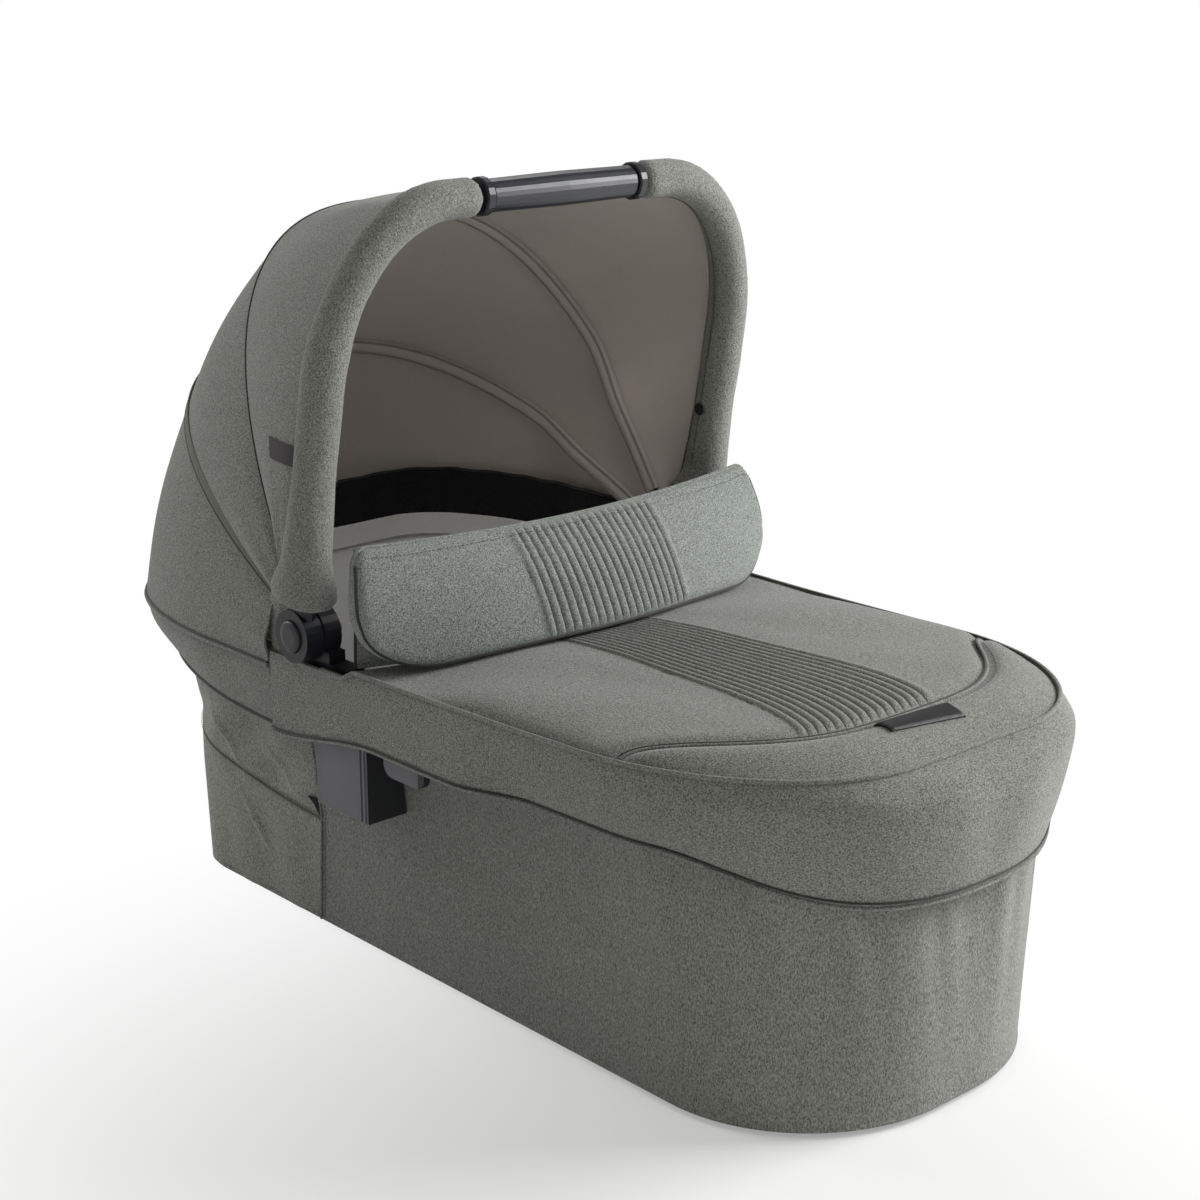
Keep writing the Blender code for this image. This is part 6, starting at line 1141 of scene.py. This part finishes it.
turn = np.radians(np.linspace(-42, 38, 40))
reach = np.linspace(LUG_INNER, LUG_OUTER, LUG_ROWS)
narrow = smooth((turn - turn[0]) / 0.25) * 0.25 + 0.75
radius = LUG_INNER + (reach[:, None] - LUG_INNER) * narrow[None]
y = HINGE[1] + radius * np.cos(turn)
z = HINGE[2] + radius * np.sin(turn)
dome = 0.0008 * np.sin(math.pi * np.linspace(0, 1, LUG_ROWS))[:, None]
for side, sign in SIDES.items():
    grid = np.stack([np.full(y.shape, sign * LUG_X) + sign * dome, y, z], -1)
    dress(sheet("hinge_lug_" + side, grid, 0.0018, (0, 0.1, 0.28), knit), "tub", "outer_fabric")
    out_way = (sign, 0, 0)
    trim("hinge_lug_cord_" + side, grid[0] + (sign * 0.0002, 0, 0), 0.0013, knit, up=out_way, sides=8)
    sew("hinge_lug_thread_" + side, grid[3] + (sign * 0.0003, 0, 0), out_way)
print("hinge lugs done")

# %% [markdown]
# ## The apron
# The apron zips over the foot half of the tub. A skirt goes round the outside with a piped ridge at its
# top and a bound hem, a quilted top with sewn ribs lies inside the ridge, and a plain cap closes the foot
# end. All of it rides on the apron's own body, because it comes off.
# %% Skirt
RIDGE = Plan(0.206, 0.200, 0.391, 0.394, 0.143, 0.186, 0.100, 0.180)
WIDEST = Plan(0.2105, 0.2005, 0.417, 0.394, 0.17203, 0.195, 0.100, 0.180)
HEM = Plan(0.199, 0.188, 0.408, 0.394, 0.18001, 0.190, 0.100, 0.180)
STRAP_HALF = 0.2105
STRAP_Y = 0.031
SKIRT_END_Y = 0.1355
WIDEST_Z = 0.2477
SKIRT_ROWS = 34
SKIRT_INSIDE = (0, -0.05, 0.22)


def ridge_height(y):
    """Height of the piped ridge: it rises by 7 mm to the foot, and is lower on the strap behind STRAP_Y."""
    return 0.262 + 0.007 * smooth(-y / 0.391) - 0.0055 * smooth((y - STRAP_Y) / 0.010)


def skirt_row(plan, widening, height):
    """One row of the skirt: the outline, widened to the strap's half width by a share, at its heights."""
    run = plan.foot_run(SKIRT_END_Y, side=110, corner=70, end=20)
    x, y = run[:, 0], run[:, 1]
    wide = np.abs(x) + (STRAP_HALF - plan.side(y)) * widening(y)
    return np.stack([np.sign(x) * wide, y, np.broadcast_to(height(y), y.shape)], 1)


def over_lever(y):
    """The skirt bulges out over the lever, from behind the foot corner."""
    return smooth((y + 0.155) / 0.070)


def hem_height(y):
    """Height of the hem: lower round the foot and at the strap's end."""
    return 0.2085 - 0.0345 * smooth((-0.271 - y) / 0.137) - 0.018 * smooth(y / SKIRT_END_Y)


def between(other, extra):
    """The row halfway from the widest row to another, moved out again by a part of the way."""
    row = (middle_row + other) / 2
    row[:, :2] += (middle_row - other)[:, :2] / extra
    return row


top_row = skirt_row(RIDGE, lambda y: smooth((y - STRAP_Y) / 0.010), ridge_height)
middle_row = skirt_row(WIDEST, over_lever, lambda y: WIDEST_Z)
hem_row = skirt_row(HEM, over_lever, hem_height)
shoulder_row = between(top_row, 4)
lower_row = between(hem_row, 8)
skirt_grid = spline_rows([hem_row, lower_row, middle_row, shoulder_row, top_row], SKIRT_ROWS)
away = outward(skirt_grid, SKIRT_INSIDE)
run = lengths(skirt_grid[16])[None, :]
rise = np.linspace(0, 1, SKIRT_ROWS)[:, None]
ripple = (0.0007 * np.sin(run * 46 + 2 * rise) + 0.0004 * np.sin(run * 91)) * np.sin(math.pi * rise)
skirt_grid = skirt_grid + away * ripple[..., None]
skirt = sheet("apron_skirt_cloth", skirt_grid, 0.0025, SKIRT_INSIDE, knit)
dress(skirt, "apron", "outer_fabric", "apron_skirt")
print("skirt:", len(skirt.data.polygons))

# %% [markdown]
# The hem is bound and carries a thin dark cord, and the ridge is piped, with a dark line along its inner
# side.
# %% Skirt trim
hem_way = away[0]
binding_line = skirt_grid[0] + hem_way * 0.0002
trim("skirt_binding", binding_line, (0.0012, 0.0020), knit, "apron", up=hem_way, sides=8)
trim("skirt_hem_cord", skirt_grid[1] + hem_way * 0.0007, 0.0007, piping_cloth, "apron", up=hem_way, sides=8)
ridge_line = skirt_grid[-1][22:-22] + (0, 0, 0.0008)
trim("ridge_cord", ridge_line, 0.0019, knit, "apron", sides=12)
shadow_line = ridge_line - away[-1][22:-22] * 0.0013 + (0, 0, 0.0014)
trim("ridge_line", shadow_line, 0.0009, piping_cloth, "apron", sides=8)
print("skirt trim done")

# %% [markdown]
# The quilted top is worked out in columns: a plain field, the ribs, and another plain field. The ribbed
# band drifts and widens to the foot, and where it is depends on y while y depends on x, so a few rounds
# settle both.
# %% Quilted top
TOP_INSET = 0.0026
TOP_THICK = 0.0036
TOP_RIBS = 16
FIELD = 39
SEAM_GROOVE = (0.009, 0.0042)
CREASE_HALF = 0.199


def top_half(y):
    """Half width of the apron top: a little inside the ridge."""
    return RIDGE.half_width(y) - TOP_INSET


def top_height(x, y, half):
    """Crowned height: a parabola across at the riser, and a full pillow with steep sides towards the foot."""
    share = smooth(-y / 0.12)
    side = np.maximum(1 - np.abs(x / half) ** (2 + 4 * share), 0)
    return ridge_height(np.minimum(y, 0)) + (0.010 + 0.004 * share) * side ** (1 - 0.5 * share)


def seam_y(x):
    """The cross seam: nearly straight, then swept back to the ridge; an even polynomial of x/0.2."""
    t = (x / 0.2) ** 2
    return -0.3356 + 0.0111 * t + 0.2701 * t ** 2 - 0.1701 * t ** 3 - 0.0206 * t ** 4


def riser_base_y(x):
    """Where the riser stands on the top: it curves to the head at both sides."""
    return -0.029 + 0.066 * (x / CREASE_HALF) ** 2


def ribs(x, half, count):
    """Rounded quilt ribs: |sin| to a power, flat outside the zone."""
    wave = np.abs(np.sin(math.pi * (x + half) / (2 * half) * count)) ** 0.55
    return wave * (np.abs(x) < half)


def rib_zone(y):
    """Middle and half width of the ribbed band: it drifts and widens to the foot, and bends at the seam."""
    v = np.clip(-y / 0.335, 0, 1)
    middle = np.polyval([-0.3470, 0.6156, -0.3910, 0.1038, -0.0198], v)
    return middle, np.polyval([0.0001, 0.0044, 0.0209, 0.0418], v)


left = np.linspace(-1, 0, FIELD + 1)[:-1][None]
right = np.linspace(0, 1, FIELD + 1)[1:][None]
zone = np.linspace(-1, 1, TOP_RIBS * 12 + 1)[None]
along = np.linspace(0, 1, 80)[:, None]
x = np.concatenate([left * 0.13 - 0.066, zone * 0.066, right * 0.13 + 0.066], 1) + 0 * along
for _ in range(5):
    y = riser_base_y(x) + (seam_y(x) + 0.0008 - riser_base_y(x)) * along
    half = top_half(y)
    middle, width = rib_zone(y)
    from_left = (middle - width)[:, :FIELD] * (1 + left) + half[:, :FIELD] * left
    from_right = (middle + width)[:, -FIELD:] * (1 - right) + half[:, -FIELD:] * right
    x = np.concatenate([from_left, middle[:, FIELD:-FIELD] + width[:, FIELD:-FIELD] * zone, from_right], 1)
z = top_height(x, y, half) + groove(y - seam_y(x), *SEAM_GROOVE)
away_from_ends = smooth(along / 0.06) * smooth((1 - along) / 0.05)
place = (x - middle) / width
puff = 0.0026 * (ribs(place, 1.0, TOP_RIBS) - 0.35) * away_from_ends
puff = puff * (np.abs(place) < 1) + 0.0009 * np.sin(x * 41 + y * 30) * smooth((np.abs(place) - 1.2) / 0.7)
quilt = sheet("apron_quilt", np.stack([x, y, z + puff - 0.0004], -1), TOP_THICK, (0, -0.15, 0.1), knit)
dress(quilt, "apron", "outer_fabric", "apron_top")
print("quilt:", len(quilt.data.polygons))

# %% [markdown]
# The cap is a plain padded piece from the cross seam to the ridge round the foot. Both of its edges are
# known lines, so it is ruled between them, falls towards the ridge and is tucked in at the seam.
# %% Cap
CAP_START_Y = float(seam_y(0.200)) - 0.0152
CAP_COLUMNS = 121
# From the seam to the ridge, where the cap's pillow is full.
CAP_FULL = 0.080

cap_plan = RIDGE.grown(-TOP_INSET)
start_x = float(cap_plan.half_width(CAP_START_Y))
run = cap_plan.foot_run(0.0, side=110, corner=90, end=20)
corner = run[run[:, 1] < CAP_START_Y]
edge = np.concatenate([[[-start_x, CAP_START_Y]], corner, [[start_x, CAP_START_Y]]])
edge = even(np.column_stack([edge, 0 * edge[:, 0]]), CAP_COLUMNS)[:, :2]
seam_x = np.linspace(edge[0, 0], edge[-1, 0], CAP_COLUMNS)
seam_line_y = seam_y(seam_x) - 0.0008
seam_line_z = top_height(seam_x, seam_line_y, top_half(seam_line_y))
share = np.linspace(0, 1, 36)[:, None]
apart = np.hypot(edge[:, 0] - seam_x, edge[:, 1] - seam_line_y) / CAP_FULL
puff = 0.0045 * np.sin(math.pi * share) * np.minimum(apart, 1)[None]
tuck = groove(share * apart[None] * CAP_FULL, *SEAM_GROOVE)
cap_x = seam_x + (edge[:, 0] - seam_x) * share
cap_y = seam_line_y + (edge[:, 1] - seam_line_y) * share
cap_z = seam_line_z + (ridge_height(edge[:, 1]) - seam_line_z) * share ** 1.5 + puff + tuck
cap_grid = np.stack([cap_x, cap_y, cap_z], -1)
cap = sheet("apron_cap_cloth", cap_grid, TOP_THICK, (0, -0.3, 0.1), knit)
dress(cap, "apron", "outer_fabric", "apron_cap")
seam_cord = cap_grid[0] + (0, -0.0006, 0.0008)
trim("cap_seam_cord", seam_cord, 0.0014, knit, "apron", sides=10)
# A dark cord behind the seam's cord is painted shade where the quilt rolls down into the seam.
trim("cap_seam_shade_line", seam_cord + (0, 0.0016, 0.0009), 0.0010, piping_cloth, "apron", sides=8)
sew("cap_seam_thread", cap_grid[5][6:-6] + (0, 0, 0.0004), (0, 0, 1), "apron")
print("cap:", len(cap.data.polygons))

# %% [markdown]
# A small dark plate is sewn on the cap, close to the seam and turned a little with it. It is left bare.
# Its height comes from a quadratic surface fitted to the cap under it.
# %% Plate
PLATE_MIDDLE = (-0.013, -0.3540)
PLATE_HALF = (0.0335, 0.0095)
PLATE_TURN = math.radians(-8)
# How high its edge stands over the cap, and how much higher its face is.
PLATE_RISE = (0.0016, 0.0012)

u, v = np.meshgrid(np.linspace(-1, 1, 41), np.linspace(-1, 1, 17))
turn_x, turn_y = math.cos(PLATE_TURN), math.sin(PLATE_TURN)
plate_x = PLATE_MIDDLE[0] + PLATE_HALF[0] * u * turn_x - PLATE_HALF[1] * v * turn_y
plate_y = PLATE_MIDDLE[1] + PLATE_HALF[0] * u * turn_y + PLATE_HALF[1] * v * turn_x
flat = cap_grid.reshape(-1, 3)
off_x, off_y = flat[None, :, 0] - plate_x.reshape(-1, 1), flat[None, :, 1] - plate_y.reshape(-1, 1)
near = np.argmin(off_x ** 2 + off_y ** 2, 1)
fit = np.polynomial.polynomial.polyvander2d(plate_x.ravel() + 0.01, plate_y.ravel() + 0.35, (2, 2))
terms = np.linalg.lstsq(fit, flat[near, 2], rcond=None)[0]
rim = np.clip(np.minimum(1 - np.abs(u), (1 - np.abs(v)) * 0.32) / 0.05, 0, 1)
plate_z = (fit @ terms).reshape(u.shape) + PLATE_RISE[0] + PLATE_RISE[1] * np.sqrt(1 - (1 - rim) ** 2)
plate = sheet("cap_plate", np.stack([plate_x, plate_y, plate_z], -1), 0.0016, (0, -0.34, 0.1), plate_metal)
dress(plate, "apron", "plate_metal", "label_plate")
print("plate:", len(plate.data.polygons))

# %% [markdown]
# ## Riser and wind flap
# The apron rises at its head end to a crease, and a padded flap hangs from the crease over the riser,
# with the same ribs as the apron and a dark cord round its edge.
# %% Riser
RISER_INSIDE = (0, 0.12, 0.30)
RISER_TOP_HALF = float(top_half(np.array(0.0)))
SEAT_LIFT = 0.0006


def crease_y(x):
    """The crease in plan: it bows to the foot in the middle."""
    return 0.015 + 0.018 * (x / CREASE_HALF) ** 2


def crease_z(x):
    """The crease's height: a little higher at both sides."""
    return 0.3505 + 0.006 * (x / CREASE_HALF) ** 2


riser_x = np.linspace(-CREASE_HALF, CREASE_HALF, 121)[None]
rise = np.linspace(0, 1, 30)[:, None]
base_z = top_height(riser_x, riser_base_y(riser_x), RISER_TOP_HALF) + SEAT_LIFT
riser_y = riser_base_y(riser_x) + (crease_y(riser_x) - riser_base_y(riser_x)) * rise
riser_z = base_z + (crease_z(riser_x) - base_z) * rise
riser_grid = np.stack([np.broadcast_to(riser_x, riser_y.shape), riser_y, riser_z], -1)
riser_face = riser_grid - outward(riser_grid, RISER_INSIDE) * 0.0002
riser = sheet("riser_cloth", riser_face, 0.0026, RISER_INSIDE, flap_knit)
dress(riser, "apron", "flap_fabric", "apron_riser")
for side, sign in SIDES.items():
    edge = riser_grid[:, -1 if sign > 0 else 0] + (sign * 0.0004, 0.0012, 0)
    trim("riser_cord_" + side, edge, 0.0013, piping_cloth, "apron", "flap_fabric", up=(0, 1, 0), sides=8)
print("riser:", len(riser.data.polygons))

# %% [markdown]
# The flap is a thin pad that hangs from the crease to just above the apron. Its lower corners are
# rounded, its edges are pulled thin by the cord, and the ribs fill its middle.
# %% Wind flap
FLAP_HALF = 0.213
FLAP_TOP_HALF = 0.206
FLAP_HIGH = 0.09
FLAP_CORNER = 0.058
FLAP_TOP_CORNER = 0.012
FLAP_EDGE = 0.007
FLAP_RIB_HALF = 0.075
FLAP_RIBS = 19
FLAP_SIDE_THICK = 0.0048
FLAP_PAD_THICK = 0.0040


def rounded(distance, radius):
    """How far a corner of a radius is cut back, as a share of it, at a distance in from the flap's side."""
    past = np.clip((np.abs(distance) * FLAP_HALF - (FLAP_HALF - radius)) / radius, 0, 1)
    return 1 - np.sqrt(np.maximum(1 - past ** 2, 0))


zone = np.linspace(-FLAP_RIB_HALF, FLAP_RIB_HALF, FLAP_RIBS * 12 + 1)
beside = np.linspace(-FLAP_HALF, -FLAP_RIB_HALF, 44)[:-1], np.linspace(FLAP_RIB_HALF, FLAP_HALF, 44)[1:]
share_x = np.concatenate([beside[0], zone, beside[1]]) / FLAP_HALF
reach = 1 - 0.46 * rounded(share_x, FLAP_CORNER)
hang = np.linspace(0, 1, 56)[:, None]
top_cut = 0.13 * rounded(share_x, FLAP_TOP_CORNER)[None]
down = top_cut + (reach[None] - top_cut) * hang
flap_x = share_x[None] * (FLAP_TOP_HALF + (FLAP_HALF - FLAP_TOP_HALF) * smooth(2 * down))
foot_y = -0.041 + 0.050 * (flap_x / CREASE_HALF) ** 2
foot_z = top_height(flap_x, foot_y, RISER_TOP_HALF) + 0.0016 + SEAT_LIFT
flap_y = crease_y(flap_x) + (foot_y - crease_y(flap_x)) * down
flap_z = crease_z(flap_x) + (foot_z - crease_z(flap_x)) * down
lean = unit(np.stack([0 * flap_x, crease_z(flap_x) - foot_z, foot_y - crease_y(flap_x)], -1), 2)
edge_x = np.minimum((1 - np.abs(share_x)) * FLAP_HALF, FLAP_EDGE) / FLAP_EDGE
edge_low = np.minimum((1 - hang) * FLAP_HIGH, FLAP_EDGE) / FLAP_EDGE
edge_top = np.minimum(hang * FLAP_HIGH, 0.008) / 0.008
full = np.sqrt(np.clip(1 - (1 - edge_x[None] * edge_low) ** 2, 0, 1))
full = full * (0.35 + 0.65 * np.sqrt(edge_top * (2 - edge_top)))
quilted = 0.0024 * (ribs(flap_x, FLAP_RIB_HALF, FLAP_RIBS) - 0.35)
quilted = quilted * smooth(hang / 0.09) * smooth((1 - hang) / 0.06) * (np.abs(flap_x) < FLAP_RIB_HALF)
bulge = 0.006 * np.sin(math.pi * down) + quilted
place = np.stack([flap_x, flap_y, flap_z], -1)
back = place - lean * SEAT_LIFT
front = place - lean * (SEAT_LIFT + FLAP_SIDE_THICK + FLAP_PAD_THICK * full + bulge)[..., None]
thick = np.linalg.norm(front - back, axis=2)
flap = sheet("flap_pad", front, thick, RISER_INSIDE, flap_knit, normal=-lean)
dress(flap, "wind_flap", "flap_fabric", "wind_flap")
outline = even(np.concatenate([front[:, 0], front[-1, 1:], front[::-1, -1][1:]]), 420)
trim("flap_cord", outline, 0.0013, piping_cloth, "wind_flap", "flap_fabric", up=(0, -1, 0.3), sides=10)
crease_line = (front[0] + back[0]) / 2 + (0, 0, 0.0012)
trim("flap_crease_cord", crease_line, (0.0022, 0.0016), flap_knit, "wind_flap", "flap_fabric", sides=10)
sew("flap_top_thread", front[5] - lean[5] * 0.0003, -lean[5], "wind_flap", "flap_fabric")
print("flap:", len(flap.data.polygons))
